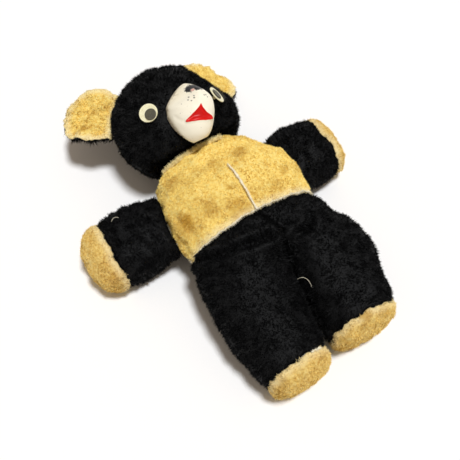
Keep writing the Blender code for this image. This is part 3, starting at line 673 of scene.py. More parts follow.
BLACK_PILE = Pile(0.93e6, 3.9 * MM, 1.1 * MM, 3.4 * MM, 0.55, 0.65)
TAN_PILE = Pile(1.55e6, 2.4 * MM, 1.05 * MM, 2.6 * MM, 0.5, 0.75)
UNDER_PILE = Pile(0.43e6, 3.9 * MM, 1.6 * MM, 3.4 * MM, 0.55, 0.65)
RIM_PILE = Pile(1.3e6, 6.0 * MM, 1.1 * MM, 3.0 * MM, 0.6, 0.6)
HIDDEN_BACKS = ("torso_back", "head_back", "trouser_back_left", "trouser_back_right", "arm_back_left", "arm_back_right")
SEAM_FUZZ = Pile(1.0e7, 2.2 * MM, 0.32 * MM, 1.6 * MM, 0.5, 1.1)
FRINGE = Pile(7.0e6, 3.0 * MM, 0.42 * MM, 1.8 * MM, 0.7, 0.8)
NECK_FRINGE = Pile(4.0e6, 5.5 * MM, 0.85 * MM, 3.0 * MM, 0.6, 0.9)


class PileTree:
    """Geometry Nodes that stand tapered tufts of pile on a cloth."""

    INPUTS = (
        ("Density", "NodeSocketFloat"),
        ("Length", "NodeSocketFloat"),
        ("Width", "NodeSocketFloat"),
        ("Clump", "NodeSocketFloat"),
        ("Pull", "NodeSocketFloat"),
        ("Scatter", "NodeSocketFloat"),
        ("Root", "NodeSocketFloat"),
        ("Floor", "NodeSocketFloat"),
        ("Seed", "NodeSocketInt"),
        ("Finish", "NodeSocketMaterial"),
    )

    def __init__(self) -> None:
        """Builds the tree once, for every cloth to use."""
        self.tree = bpy.data.node_groups.new("stand_pile", "GeometryNodeTree")
        face = self.tree.interface
        face.new_socket("Cloth", in_out="INPUT", socket_type="NodeSocketGeometry")
        for name, kind in self.INPUTS:
            face.new_socket(name, in_out="INPUT", socket_type=kind)
        face.new_socket("Pile", in_out="OUTPUT", socket_type="NodeSocketGeometry")
        self.graph = Graph(self.tree)
        self.source = self.tree.nodes.new("NodeGroupInput")
        self.connect()

    def given(self, name: str) -> Wire:
        """One of the tree's own inputs."""
        return Wire(self.graph, self.source.outputs[name])

    def kept(self, name: str, kind: str = "FLOAT") -> Wire:
        """A value kept on the cloth."""
        return self.graph.node("GeometryNodeInputNamedAttribute", {"data_type": kind}, {"Name": name})

    def chance(self, low: float, high: float, seed: int) -> Wire:
        """A random number for each tuft."""
        sockets = {2: low, 3: high, "Seed": self.given("Seed") + seed}
        return self.graph.node("FunctionNodeRandomValue", {"data_type": "FLOAT"}, sockets, 1)

    def lean(self, normal: Wire) -> Wire:
        """Direction of each tuft: out, towards its clump's middle, combed, and scattered."""
        graph = self.graph
        here = graph.node("GeometryNodeInputPosition")
        cells = graph.node(
            "ShaderNodeTexVoronoi", {}, {"Vector": here, "Scale": 1.0 / self.given_size()}, "Position"
        )
        inward = graph.vector("SUBTRACT", cells, here)
        out_part = graph.vector("DOT_PRODUCT", inward, normal, 1)
        flat = graph.vector("SUBTRACT", inward, graph.scaled(normal, out_part))
        pulled = graph.scaled(flat, self.given("Pull") * self.given_inverse())
        low, high = (-1.0, -1.0, -1.0), (1.0, 1.0, 1.0)
        sockets = {0: low, 1: high, "Seed": self.given("Seed") + 7}
        stray = graph.node("FunctionNodeRandomValue", {"data_type": "FLOAT_VECTOR"}, sockets, 0)
        way = graph.vector("ADD", normal, pulled)
        way = graph.vector("ADD", way, self.kept("comb", "FLOAT_VECTOR"))
        way = graph.vector("ADD", way, graph.scaled(stray, self.given("Scatter")))
        return graph.node("ShaderNodeVectorMath", {"operation": "NORMALIZE"}, {0: way})

    def given_inverse(self) -> Wire:
        """One over the clump's size."""
        return self.given("Clump").sum("DIVIDE", 1.0, self.given("Clump"))

    def connect(self) -> None:
        """Links the whole tree."""
        graph = self.graph
        spread = self.tree.nodes.new("GeometryNodeDistributePointsOnFaces")
        graph.feed(spread.inputs["Mesh"], self.given("Cloth"))
        graph.feed(spread.inputs["Density"], self.given("Density") * self.kept("pile"))
        graph.feed(spread.inputs["Seed"], self.given("Seed"))
        normal = Wire(graph, spread.outputs["Normal"])
        way = self.lean(normal)
        turn = graph.node("FunctionNodeAlignRotationToVector", {"axis": "Z"}, {"Vector": way})
        spin = graph.node(
            "FunctionNodeAxisAngleToRotation", {}, {"Axis": (0.0, 0.0, 1.0), "Angle": self.chance(0.0, 6.28, 3)}
        )
        turn = graph.node("FunctionNodeRotateRotation", {"rotation_space": "LOCAL"}, {0: turn, 1: spin})
        wide = self.given("Width") * self.chance(0.7, 1.3, 4)
        tall = self.given("Length") * self.chance(0.55, 1.2, 5) * (0.45 + 0.55 * self.kept("pile"))
        size = graph.node("ShaderNodeCombineXYZ", {}, {0: wide, 1: wide, 2: tall})
        sunk = graph.node(
            "GeometryNodeSetPosition",
            {},
            {0: Wire(graph, spread.outputs["Points"]), "Offset": graph.scaled(normal, -1.0 * self.given("Root"))},
        )
        sockets = {"Vertices": 3, "Side Segments": 1, "Radius Top": 0.0, "Radius Bottom": 0.5, "Depth": 1.0}
        spike = graph.node("GeometryNodeMeshCone", {"fill_type": "NGON"}, sockets, "Mesh")
        # tip: height along each tuft, from which the plush paints shade at the root and a highlight at the tip
        height = graph.node(
            "ShaderNodeSeparateXYZ", {}, {0: graph.node("GeometryNodeInputPosition")}, "Z"
        )
        spike = graph.node(
            "GeometryNodeStoreNamedAttribute",
            {"data_type": "FLOAT", "domain": "POINT"},
            {"Geometry": spike, "Name": "tip", "Value": height},
        )
        tufts = graph.node(
            "GeometryNodeInstanceOnPoints",
            {},
            {"Points": sunk, "Instance": spike, "Rotation": turn, "Scale": size},
        )
        solid = graph.node("GeometryNodeRealizeInstances", {}, {"Geometry": tufts})
        here = graph.node("GeometryNodeInputPosition")
        parts = [graph.node("ShaderNodeSeparateXYZ", {}, {0: here}, axis) for axis in ("X", "Y", "Z")]
        held = graph.node(
            "ShaderNodeCombineXYZ", {}, {0: parts[0], 1: parts[1], 2: parts[2].most(self.given("Floor"))}
        )
        solid = graph.node("GeometryNodeSetPosition", {}, {0: solid, "Position": held})
        dressed = graph.node("GeometryNodeSetMaterial", {}, {"Geometry": solid, "Material": self.given("Finish")})
        target = self.tree.nodes.new("NodeGroupOutput")
        graph.feed(target.inputs["Pile"], dressed)

    def given_size(self) -> "Wire":
        """The clump's size, for a Scale that is one over it."""
        return Inverted(self.graph, self.given("Clump").socket)

    def grow(
        self, name: str, cloth: bpy.types.Object, pile: Pile, finish: bpy.types.Material, seed: int
    ) -> bpy.types.Object:
        """Stands pile on a cloth.

        Args:
            name: the new piece's name.
            cloth: the open cloth, with its "pile" and "comb" values.
            pile: sizes of the pile.
            finish: the pile's material.
            seed: start of its random numbers.

        Returns:
            The pile as a plain mesh object.
        """
        modifier = cloth.modifiers.new("pile", "NODES")
        modifier.node_group = self.tree
        values = {
            "Density": pile.density,
            "Length": pile.length,
            "Width": pile.width,
            "Clump": pile.clump,
            "Pull": pile.pull,
            "Scatter": pile.scatter,
            "Root": 0.8 * MM,
            "Floor": 0.25 * MM,
            "Seed": seed,
            "Finish": finish,
        }
        for item in self.tree.interface.items_tree:
            if item.item_type == "SOCKET" and item.in_out == "INPUT" and item.name in values:
                modifier[item.identifier] = values[item.name]
        mesh = evaluated_mesh(cloth, name)
        cloth.modifiers.remove(modifier)
        mesh.materials.clear()
        mesh.materials.append(finish)
        return add_object(name, mesh)


@dataclass(frozen=True)
class Inverted(Wire):
    """A wire that stands for a size, where one over it is wanted."""

    def __rtruediv__(self, other: float) -> Wire:
        """A number over the size."""
        return self.sum("DIVIDE", other, Wire(self.graph, self.socket))


def add_object(name: str, mesh: bpy.types.Mesh) -> bpy.types.Object:
    """Puts a mesh in the scene as an object at the origin."""
    item = bpy.data.objects.new(name, mesh)
    bpy.context.scene.collection.objects.link(item)
    return item


def evaluated_mesh(item: bpy.types.Object, name: str) -> bpy.types.Mesh:
    """A plain mesh of an object with its modifiers applied."""
    bpy.context.view_layer.update()
    graph = bpy.context.evaluated_depsgraph_get()
    mesh = bpy.data.meshes.new_from_object(
        item.evaluated_get(graph), preserve_all_data_layers=True, depsgraph=graph
    )
    mesh.name = name
    return mesh


def declare(
    item: bpy.types.Object, nodes: Sequence[str] = ()
) -> bpy.types.Object:
    """Tells the frame about a finished piece.

    Args:
        item: the piece.
        nodes: the CAD nodes that it stands for.

    Returns:
        The same piece.
    """
    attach(item, "root")
    if nodes:
        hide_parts(*nodes)
    LOG.info("%s: %d faces", item.name, len(item.data.polygons))
    return item


@dataclass
class Panel:
    """One sewn panel: a grid of points that is kept in part, dented at its seams and lumpy."""

    name: str
    surface: Surface
    rows: Sequence[float]
    columns: Sequence[float]
    cloth: Cloth
    seed: float
    keep: Optional[Keep] = None
    closed: bool = False
    bare: Optional[Callable[[Vector], float]] = None
    extra: Optional[Callable[[Vector], float]] = None
    comb_to_edge: bool = True

    def grid(self) -> bmesh.types.BMesh:
        """The flat-lying cloth before it is dented."""
        bm = bmesh.new()
        count = len(self.columns)
        depth = self.cloth.sink
        verts = []
        for row in self.rows:
            verts.append([])
            for column in self.columns:
                place = self.surface(row, column, depth)
                place += sum((wander.shift(place) for wander in self.cloth.wanders), Vector())
                verts[-1].append(bm.verts.new(place))
        for row in range(len(self.rows) - 1):
            for column in range(count if self.closed else count - 1):
                after = (column + 1) % count
                along = 0.5 * (self.rows[row] + self.rows[row + 1])
                around = 0.5 * (self.columns[column] + self.columns[after])
                if self.keep is None or self.keep(along, around):
                    corners = (
                        verts[row][column],
                        verts[row + 1][column],
                        verts[row + 1][after],
                        verts[row][after],
                    )
                    bm.faces.new(corners)
        loose = [vert for vert in bm.verts if not vert.link_faces]
        bmesh.ops.delete(bm, geom=loose, context="VERTS")
        bmesh.ops.remove_doubles(bm, verts=bm.verts, dist=WELD)
        bmesh.ops.dissolve_degenerate(bm, dist=WELD, edges=bm.edges)
        bmesh.ops.recalc_face_normals(bm, faces=bm.faces)
        self.face_outwards(bm)
        return bm

    def face_outwards(self, bm: bmesh.types.BMesh) -> None:
        """Turns the faces so that they point away from the stuffing."""
        row = self.rows[len(self.rows) // 2]
        column = self.columns[len(self.columns) // 3]
        top = self.surface(row, column, self.cloth.sink)
        out = self.surface(row, column, 0.0) - self.surface(row, column, COVER)
        nearest = min(bm.faces, key=lambda face: (face.calc_center_median() - top).length_squared)
        nearest.normal_update()
        if nearest.normal.dot(out) < 0.0:
            bmesh.ops.reverse_faces(bm, faces=bm.faces)
        bm.normal_update()

    @staticmethod
    def rim(bm: bmesh.types.BMesh) -> tuple[kdtree.KDTree, list[float]]:
        """The panel's cut edge, with how far along it each point lies.

        Returns:
            A search tree of the edge's points, and their places along the edge.
        """
        edges = [edge for edge in bm.edges if len(edge.link_faces) == 1]
        links: dict = {}
        for edge in edges:
            for vert in edge.verts:
                links.setdefault(vert, []).append(edge)
        along: dict = {}
        for start in links:
            if start in along:
                continue
            along[start] = 0.0
            here = start
            while True:
                onward = [
                    (edge, edge.other_vert(here)) for edge in links[here] if edge.other_vert(here) not in along
                ]
                if not onward:
                    break
                edge, there = onward[0]
                along[there] = along[here] + edge.calc_length()
                here = there
        tree = kdtree.KDTree(max(len(along), 1))
        places = []
        for index, (vert, length) in enumerate(along.items()):
            tree.insert(vert.co, index)
            places.append(length)
        tree.balance()
        return tree, places

    def lift(self, place: Vector, away: float, along: float) -> float:
        """How far the cloth stands up or down from its even shape at a place."""
        cloth = self.cloth
        far = 1.0 - math.exp(-((away / cloth.dip_width) ** 2))
        height = -cloth.dip * (1.0 - far)
        height += cloth.lump * far * (bumps(place, cloth.lump_size, self.seed) * 1.6)
        height += 0.5 * cloth.lump * far * bumps(place, 0.4 * cloth.lump_size, self.seed + 5.0)
        near = math.exp(-((away / (2.6 * cloth.dip_width)) ** 2)) * (1.0 - math.exp(-((away / (1.5 * MM)) ** 2)))
        shift = 2.5 * bumps(place, 25.0 * MM, self.seed + 9.0)
        gather = math.sin(2.0 * math.pi * along / cloth.pucker_pitch + shift)
        height += cloth.pucker * near * gather * (0.6 + bumps(place, 12.0 * MM, self.seed + 3.0))
        for crease in cloth.creases:
            height += crease.height(place)
        if self.extra is not None:
            height += self.extra(place)
        return max(height, -cloth.deepest)

    def lay(self) -> bpy.types.Object:
        """Makes the open cloth, with the values that its pile and paint read."""
        bm = self.grid()
        tree, places = self.rim(bm)
        seams, bares, combs, moves = [], [], [], []
        for vert in bm.verts:
            edge, index, away = tree.find(vert.co)
            away = away if edge is not None else 1.0
            along = places[index] if edge is not None else 0.0
            moves.append(vert.normal * self.lift(vert.co, away, along))
            seams.append(ease(away / (11.0 * MM)))
            shag = 1.0 + self.cloth.shag * 1.8 * bumps(vert.co, self.cloth.shag_size, self.seed + 2.0)
            bares.append(max(shag, 0.25) * (1.0 if self.bare is None else self.bare(vert.co)))
            comb = Vector(self.cloth.comb)
            swirl = noise.noise_vector(vert.co / self.cloth.swirl_size + Vector((self.seed, 0.0, 0.0)))
            comb += swirl * self.cloth.swirl * 1.8
            if self.comb_to_edge and edge is not None and away > 0.2 * MM:
                hold = max(1.0 - away / (4.0 * MM), 0.0)
                comb += (edge - vert.co).normalized() * hold * self.cloth.edge_comb
            combs.append(comb)
        for vert, move in zip(bm.verts, moves):
            vert.co += move
            vert.co.z = max(vert.co.z, FLOOR_SKIN)
        under = [vert.co.z for vert in bm.verts]
        mesh = bpy.data.meshes.new("cloth_" + self.name)
        bm.to_mesh(mesh)
        bm.free()
        mesh.attributes.new("seam", "FLOAT", "POINT").data.foreach_set("value", seams)
        # A low tip value gives the bare cloth part of the plush's painted root shade.
        mesh.attributes.new("tip", "FLOAT", "POINT").data.foreach_set("value", [0.35] * len(seams))
        stand = [bare * ease((height - 1.2 * MM) / (1.5 * MM)) for bare, height in zip(bares, under)]
        mesh.attributes.new("pile", "FLOAT", "POINT").data.foreach_set("value", stand)
        flat = [value for comb in combs for value in comb]
        mesh.attributes.new("comb", "FLOAT_VECTOR", "POINT").data.foreach_set("vector", flat)
        mesh.shade_smooth()
        return add_object(mesh.name, mesh)

    def thicken(self, item: bpy.types.Object, finish: bpy.types.Material) -> None:
        """Gives the laid cloth its thickness and its finish."""
        modifier = item.modifiers.new("thickness", "SOLIDIFY")
        modifier.thickness = self.cloth.thickness
        modifier.offset = -1.0
        mesh = evaluated_mesh(item, item.name)
        item.modifiers.remove(modifier)
        for vert in mesh.vertices:
            vert.co.z = max(vert.co.z, FLOOR_SKIN)
        mesh.materials.clear()
        mesh.materials.append(finish)
        item.data = mesh


@dataclass
class Workshop:
    """What every sub-assembly needs: the materials and the pile maker."""

    black: bpy.types.Material
    tan: bpy.types.Material
    limb_tan: bpy.types.Material
    thread: bpy.types.Material
    stuffing: bpy.types.Material
    piles: PileTree
    seeds: int = 0

    def wad(self, node: str, rings: Sequence[Sequence[Vector]]) -> None:
        """Makes a closed lump of loose stuffing that stands for a CAD node.

        Args:
            node: the stuffing's CAD node.
            rings: rings of points along the lump.
        """
        bm = bmesh.new()
        lumpy = [[place * (1.0 + 0.006 * bumps(place, 12.0 * MM, 90.0)) for place in ring] for ring in rings]
        grid = [[bm.verts.new(place) for place in ring] for ring in lumpy]
        for lower, upper in zip(grid, grid[1:]):
            for column, vert in enumerate(lower):
                after = (column + 1) % len(lower)
                bm.faces.new((vert, lower[after], upper[after], upper[column]))
        bm.faces.new(list(reversed(grid[0])))
        bm.faces.new(grid[-1])
        bmesh.ops.recalc_face_normals(bm, faces=bm.faces)
        mesh = bpy.data.meshes.new("wad_" + node)
        bm.to_mesh(mesh)
        bm.free()
        mesh.materials.append(self.stuffing)
        mesh.shade_smooth()
        declare(add_object(mesh.name, mesh), [node])

    def cover(
        self, panel: Panel, slot: Slot, nodes: Sequence[str], pile: Optional[Pile] = None
    ) -> bpy.types.Object:
        """Lays a panel, stands its pile, thickens it and declares both.

        Args:
            panel: the panel to make.
            slot: black or tan plush.
            nodes: the CAD nodes that it stands for.
            pile: its pile, where it isn't the usual one.

        Returns:
            The finished cloth.
        """
        finish = self.black
        if slot is Slot.TAN:
            finish = self.limb_tan if "cap" in panel.name else self.tan
        usual = BLACK_PILE if slot is Slot.BLACK else TAN_PILE
        cloth = panel.lay()
        self.seeds += 1
        if panel.name in HIDDEN_BACKS:
            usual = UNDER_PILE
        elif "ear_back" in panel.name:
            usual = RIM_PILE
        nap = self.piles.grow("pile_" + panel.name, cloth, pile or usual, finish, self.seeds)
        panel.thicken(cloth, finish)
        declare(cloth, nodes)
        declare(nap)
        return cloth


@dataclass(frozen=True)
class Torso:
    """Tan chest in two halves and the black back."""

    waist: Triple = (-32.0 * MM, 68.0 * MM, 80.0 * MM)
    belly: Triple = (6.0 * MM, 71.0 * MM, 91.0 * MM)
    chest: Triple = (40.0 * MM, 65.0 * MM, 78.5 * MM)
    neck_y: float = 73.0 * MM
    neck_half: float = 27.0 * MM
    roundness: float = 2.25
    shoulder_roundness: float = 2.35
    side_seam: float = -0.1
    centre_gap: float = 0.15 * MM
    neck_wall: float = 6.0 * MM
    fallen: Triple = (0.051, 0.053, 0.056)
    pitch: float = 2.3 * MM

    @property
    def waist_wander(self) -> Wander:
        """How the waist seam wanders, for the cloth on both sides of it."""
        return Wander((0.0, self.waist[0], 0.0), (0.0, 1.0, 0.0), 1.3 * MM, 7.0 * MM, 9.0 * MM, 61.0)

    def section(self, y: float) -> tuple[float, float, float]:
        """Half width, lowest and highest point before the neck end is rounded."""
        half, top = follow((self.waist, self.belly, self.chest), y)
        return half, -SETTLE, top

    def point(self, y: float, angle: float, depth: float) -> Vector:
        """Point of the torso's surface."""
        chest_y = self.chest[0]
        part = max(y - chest_y, 0.0) / (self.neck_y - chest_y)
        share = cap_share(part, self.shoulder_roundness)
        across, up = section_point(angle, self.section(y), self.roundness, depth, share)
        if y > chest_y:
            y = chest_y + (self.neck_y - chest_y - depth) * part
        return Vector((across, y, up))

    def side(self, y: float, z: float) -> float:
        """How far the torso's side lies from its middle plane."""
        half, low, top = self.section(y)
        chest_y = self.chest[0]
        share = cap_share(max(y - chest_y, 0.0) / (self.neck_y - chest_y), self.shoulder_roundness)
        if share <= 0.0:
            return 0.0
        tall = 0.5 * (top - low) * share
        return half * share * cap_share((z - 0.5 * (low + top)) / tall, self.roundness)

    def rows(self) -> list[float]:
        """Rows from the waist over the shoulders to the neck's opening."""
        length = self.neck_y - self.chest[0]
        part = cap_share(self.neck_half / self.chest[1], self.shoulder_roundness)
        last = math.asin(part ** (self.shoulder_roundness / 2.0))
        start = self.waist[0] + 0.5 * SEAM_GAP
        rows = spaced(start, self.chest[0], round((self.chest[0] - start) / self.pitch))
        for turn in spaced(0.0, last, 18)[1:]:
            rows.append(self.chest[0] + length * math.sin(turn) ** (2.0 / self.shoulder_roundness))
        return rows

    def bare_seam(self, place: Vector) -> float:
        """Little pile beside the lower part of the chest's seam."""
        worn = 1.0 - ease((place.y - 0.012) / 0.012)
        return 1.0 - 0.85 * worn * (1.0 - ease((abs(place.x) - 0.5 * MM) / (1.6 * MM)))

    def sewn(self, place: Vector) -> float:
        """How the chest's seam draws the cloth in, and how its left shoulder falls away."""
        worn = 1.0 - ease((place.y - 0.012) / 0.014)
        seam = -0.8 * MM * worn * math.exp(-((place.x / (2.2 * MM)) ** 2))
        away = (place - Vector(self.fallen)).length / (19.0 * MM)
        return seam - 6.5 * MM * math.exp(-away * away)

    def build(self, shop: Workshop) -> None:
        """Makes the chest, one piece for both halves, and the back."""
        seam = self.centre_gap / self.chest[1]
        side = -self.side_seam * math.pi / 2.0
        quarter = round(0.25 * 420.0 * MM / self.pitch)
        across = spaced(-side + seam, math.pi + side - seam, 2 * quarter)
        back = spaced(math.pi + side + seam, 2.0 * math.pi - side - seam, 2 * quarter)
        front = Cloth(
            sink=1.5 * MM,
            dip=0.9 * MM,
            lump=1.6 * MM,
            lump_size=13.0 * MM,
            pucker=0.35 * MM,
            edge_comb=0.5,
            deepest=6.5 * MM,
            shag=0.35,
            swirl=0.8,
            swirl_size=6.0 * MM,
            creases=(
                Crease(
                    ((-0.050, 0.050, 0.062), (-0.038, 0.047, 0.070), (-0.024, 0.050, 0.076), (-0.010, 0.056, 0.072)),
                    1.8 * MM,
                    2.6 * MM,
                ),
                Crease(((-0.046, 0.040, 0.070), (-0.034, 0.036, 0.080), (-0.022, 0.040, 0.080)), 1.2 * MM, 2.4 * MM),
                Crease(((-0.064, 0.004, 0.066), (-0.060, -0.010, 0.068), (-0.060, -0.022, 0.064)), 1.4 * MM, 3.6 * MM),
                Crease(((-0.055, 0.012, 0.076), (-0.050, -0.004, 0.080), (-0.052, -0.018, 0.075)), 0.9 * MM, 3.0 * MM),
                Crease(((-0.070, -0.006, 0.054), (-0.067, -0.026, 0.050)), 1.4 * MM, 3.0 * MM),
                Crease(((0.052, 0.004, 0.076), (0.060, -0.014, 0.068)), 1.0 * MM, 3.0 * MM),
            ),
            wanders=(self.waist_wander,),
        )
        panel = Panel("chest", self.point, self.rows(), across, front, 1.0, bare=self.bare_seam, extra=self.sewn)
        shop.cover(panel, Slot.TAN, ["torso_front_left", "torso_front_right"])
        cloth = Cloth(wanders=(self.waist_wander,))
        panel = Panel("torso_back", self.point, self.rows(), back, cloth, 3.0)
        shop.cover(panel, Slot.BLACK, ["torso_back"])
        loop = spaced(0.0, 2.0 * math.pi, 32)[:-1]
        rings = [[self.point(y, angle, INSIDE) for angle in loop] for y in self.rows()[::4]]
        neck = [self.point(self.rows()[-1], angle, self.neck_wall) for angle in loop]
        for reach in (-2.0 * MM, 4.0 * MM, 11.0 * MM):
            rings.append([place + Vector((0.0, reach, 0.0)) for place in neck])
        shop.wad("body_stuffing", rings)


@dataclass(frozen=True)
class Trousers:
    """Black trousers on both sides and their tan feet."""

    torso: Torso
    crotch_y: float = -56.0 * MM
    crotch_middle: float = 9.0 * MM
    hip_half: float = 76.0 * MM
    hip_top: float = 77.0 * MM
    part_y: float = -78.0 * MM
    thigh_y: float = -94.0 * MM
    thigh_middle: float = 4.0 * MM
    thigh_out: tuple[float, float] = (87.5 * MM, 79.0 * MM)
    thigh_top: float = 70.0 * MM
    shin_y: float = -128.0 * MM
    shin_middle: float = -2.0 * MM
    shin_out: tuple[float, float] = (79.0 * MM, 78.0 * MM)
    shin_top: float = 63.0 * MM
    foot_middle: float = -4.0 * MM
    foot_out: tuple[float, float] = (71.0 * MM, 71.0 * MM)
    foot_top: float = 60.0 * MM
    foot_seam_y: tuple[float, float] = (-155.0 * MM, -159.0 * MM)
    foot_end_y: tuple[float, float] = (-170.0 * MM, -178.0 * MM)
    leg_roundness: float = 2.3
    foot_roundness: float = 2.4
    press: float = 3.0 * MM
    foot_space: float = 2.0 * MM
    wrap: float = math.radians(125.0)
    pitch: float = 2.4 * MM

    def on(self, pair: tuple[float, float], side: Side) -> float:
        """A side's value of a left and right pair."""
        return pair[0] if side is Side.LEFT else pair[1]

    def hip_section(self, y: float) -> tuple[float, float, float]:
        """Half width, lowest and highest point of the hips."""
        waist_y, waist_half, waist_top = self.torso.waist
        stations = (
            (-waist_y, waist_half, waist_top),
            (-self.crotch_y, self.hip_half, self.hip_top),
            (-self.thigh_y, 0.5 * sum(self.thigh_out), self.thigh_top),
        )
        half, top = follow(stations, -y)
        return half, -SETTLE, top

    def leg_section(self, side: Side, y: float) -> list[float]:
        """Where the legs part, how far a leg reaches out, and its highest point."""
        waist_y, waist_half, waist_top = self.torso.waist
        stations = (
            (-waist_y, 0.0, waist_half, waist_top),
            (-self.crotch_y, self.crotch_middle, self.hip_half, self.hip_top),
            (-self.thigh_y, self.thigh_middle, self.on(self.thigh_out, side), self.thigh_top),
            (-self.shin_y, self.shin_middle, self.on(self.shin_out, side), self.shin_top),
            (-self.on(self.foot_seam_y, side), self.foot_middle, self.on(self.foot_out, side), self.foot_top),
        )
        return follow(stations, -y)

    def point(self, side: Side, y: float, turn: float, depth: float) -> Vector:
        """Point of half the trousers or of a foot.

        Args:
            side: which half.
            y: the row.
            turn: -1 below the crotch seam, round the outer side, to 1 above it; further on to 2
                and back to -2, it goes over the leg's inner side.
            depth: how far under the outer face.

        Returns:
            The point.
        """
        turn = turn - 4.0 if turn > 2.0 else turn
        seam = self.on(self.foot_seam_y, side)
        end = self.on(self.foot_end_y, side)
        part = max(seam - y, 0.0) / (seam - end)
        share = cap_share(part, self.foot_roundness)
        middle, out, top = self.leg_section(side, y)
        closing = ease((self.thigh_y - y) / (self.thigh_y - seam))
        apart = self.foot_space * closing
        half = 0.5 * (out - side.sign * middle + self.press - (self.press + apart) * closing)
        centre = out - half - side.sign * middle
        if abs(turn) <= 1.0:
            leg_angle = self.wrap * turn
            hip_angle = math.pi / 2.0 * turn
        else:
            leg_angle = math.copysign(self.wrap + (abs(turn) - 1.0) * (math.pi - self.wrap), turn)
            hip_angle = math.copysign(math.pi / 2.0, turn)
        section = (half, -SETTLE, top)
        leg_across, leg_up = section_point(leg_angle, section, self.leg_roundness, depth, share)
        hip_half, low, hip_top = self.hip_section(y)
        hip = (hip_half - side.sign * middle, low, hip_top)
        hip_across, hip_up = section_point(hip_angle, hip, self.torso.roundness, depth)
        if abs(turn) > 1.0:
            between = 0.5 * (hip_top + depth)
            hip_up = between + (hip_up - between) * (2.0 - abs(turn))
        parted = ease((self.crotch_y - y) / (self.crotch_y - self.part_y))
        across = hip_across + (centre + leg_across - hip_across) * parted
        up = hip_up + (leg_up - hip_up) * parted
        wall = depth if abs(turn) > 1.0 or y <= self.crotch_y else 0.0
        across = max(across, 0.5 * SEAM_GAP + wall)
        if y < seam:
            y = seam + (end + depth - seam) * part
        return Vector((middle + side.sign * across, y, up))

    def creases(self) -> tuple[Crease, ...]:
        """Folds seen over the hips and at the tops of the legs."""
        return (
            Crease(
                (
                    (-0.068, -0.036, 0.050),
                    (-0.057, -0.044, 0.064),
                    (-0.046, -0.050, 0.070),
                    (-0.034, -0.053, 0.074),
                    (-0.018, -0.056, 0.076),
                    (-0.004, -0.058, 0.076),
                ),
                5.6 * MM,
                3.6 * MM,
                0.8,
            ),
            Crease(
                ((0.041, -0.050, 0.075), (0.040, -0.060, 0.074), (0.032, -0.068, 0.072), (0.018, -0.068, 0.070)),
                5.2 * MM,
                3.3 * MM,
                0.7,
            ),
            Crease(((0.060, -0.064, 0.068), (0.050, -0.074, 0.072)), 1.4 * MM, 3.0 * MM, 0.4),
            Crease(((-0.075, -0.060, 0.052), (-0.060, -0.066, 0.066)), 1.3 * MM, 3.4 * MM, 0.4),
        )

    def build(self, shop: Workshop) -> None:
        """Makes both halves and both feet."""
        turn_gap = SEAM_GAP / (0.5 * min(self.foot_out))
        around = round(self.wrap * 40.0 * MM / self.pitch)
        side_seam = self.torso.side_seam
        front = spaced(side_seam + turn_gap, 1.0, around)
        front += spaced(1.0, 2.0 - turn_gap, 12)[1:]
        back = spaced(-2.0 + turn_gap, -1.0, 12)
        back += spaced(-1.0, side_seam - turn_gap, around)[1:]
        loop = spaced(-1.0, 1.0, 2 * around) + spaced(1.0, 3.0, 24)[1:-1]
        for seed, side in enumerate((Side.LEFT, Side.RIGHT)):

            def surface(y: float, turn: float, depth: float, side: Side = side) -> Vector:
                """This side's surface."""
                return self.point(side, y, turn, depth)

            seam = self.on(self.foot_seam_y, side)
            end = self.on(self.foot_end_y, side)
            ankle = Wander((0.0, seam, 0.0), (0.0, 1.0, 0.0), 3.0 * MM, 9.0 * MM, 15.0 * MM, 63.0 + seed)
            cloth = Cloth(
                lump=1.4 * MM,
                deepest=6.0 * MM,
                edge_comb=0.5,
                creases=self.creases(),
                wanders=(self.torso.waist_wander, ankle),
            )
            foot_cloth = Cloth(
                sink=1.4 * MM,
                dip=1.6 * MM,
                lump=1.2 * MM,
                lump_size=9.0 * MM,
                pucker=0.9 * MM,
                edge_comb=0.5,
                wanders=(ankle,),
            )
            start = self.torso.waist[0] - 0.5 * SEAM_GAP
            rows = spaced(start, self.crotch_y, round((start - self.crotch_y) / self.pitch))
            last = seam + 0.5 * SEAM_GAP
            rows += spaced(self.crotch_y, last, round((self.crotch_y - last) / self.pitch))[1:]
            name = "trouser_front_" + side.word
            panel = Panel(name, surface, rows, front, cloth, 11.0 + seed, self.keep_front)
            shop.cover(panel, Slot.BLACK, [name])
            name = "trouser_back_" + side.word
            panel = Panel(name, surface, rows, back, cloth, 13.0 + seed, self.keep_back)
            shop.cover(panel, Slot.BLACK, [name])
            name = "foot_cap_" + side.word
            foot_rows = [seam - 0.5 * SEAM_GAP] + cap_places(seam, end, self.foot_roundness, 18)
            panel = Panel(name, surface, foot_rows, loop, foot_cloth, 15.0 + seed, closed=True)
            shop.cover(panel, Slot.TAN, [name])
            rings = [[surface(y, turn, INSIDE) for turn in loop[::4]] for y in rows[::5] + foot_rows[1:-1:4]]
            shop.wad("leg_stuffing_" + side.word, rings)

    def keep_front(self, y: float, turn: float) -> bool:
        """Cells of a trouser front."""
        return turn < 1.0 or y < self.crotch_y

    def keep_back(self, y: float, turn: float) -> bool:
        """Cells of a trouser back."""
        return turn > -1.0 or y < self.crotch_y


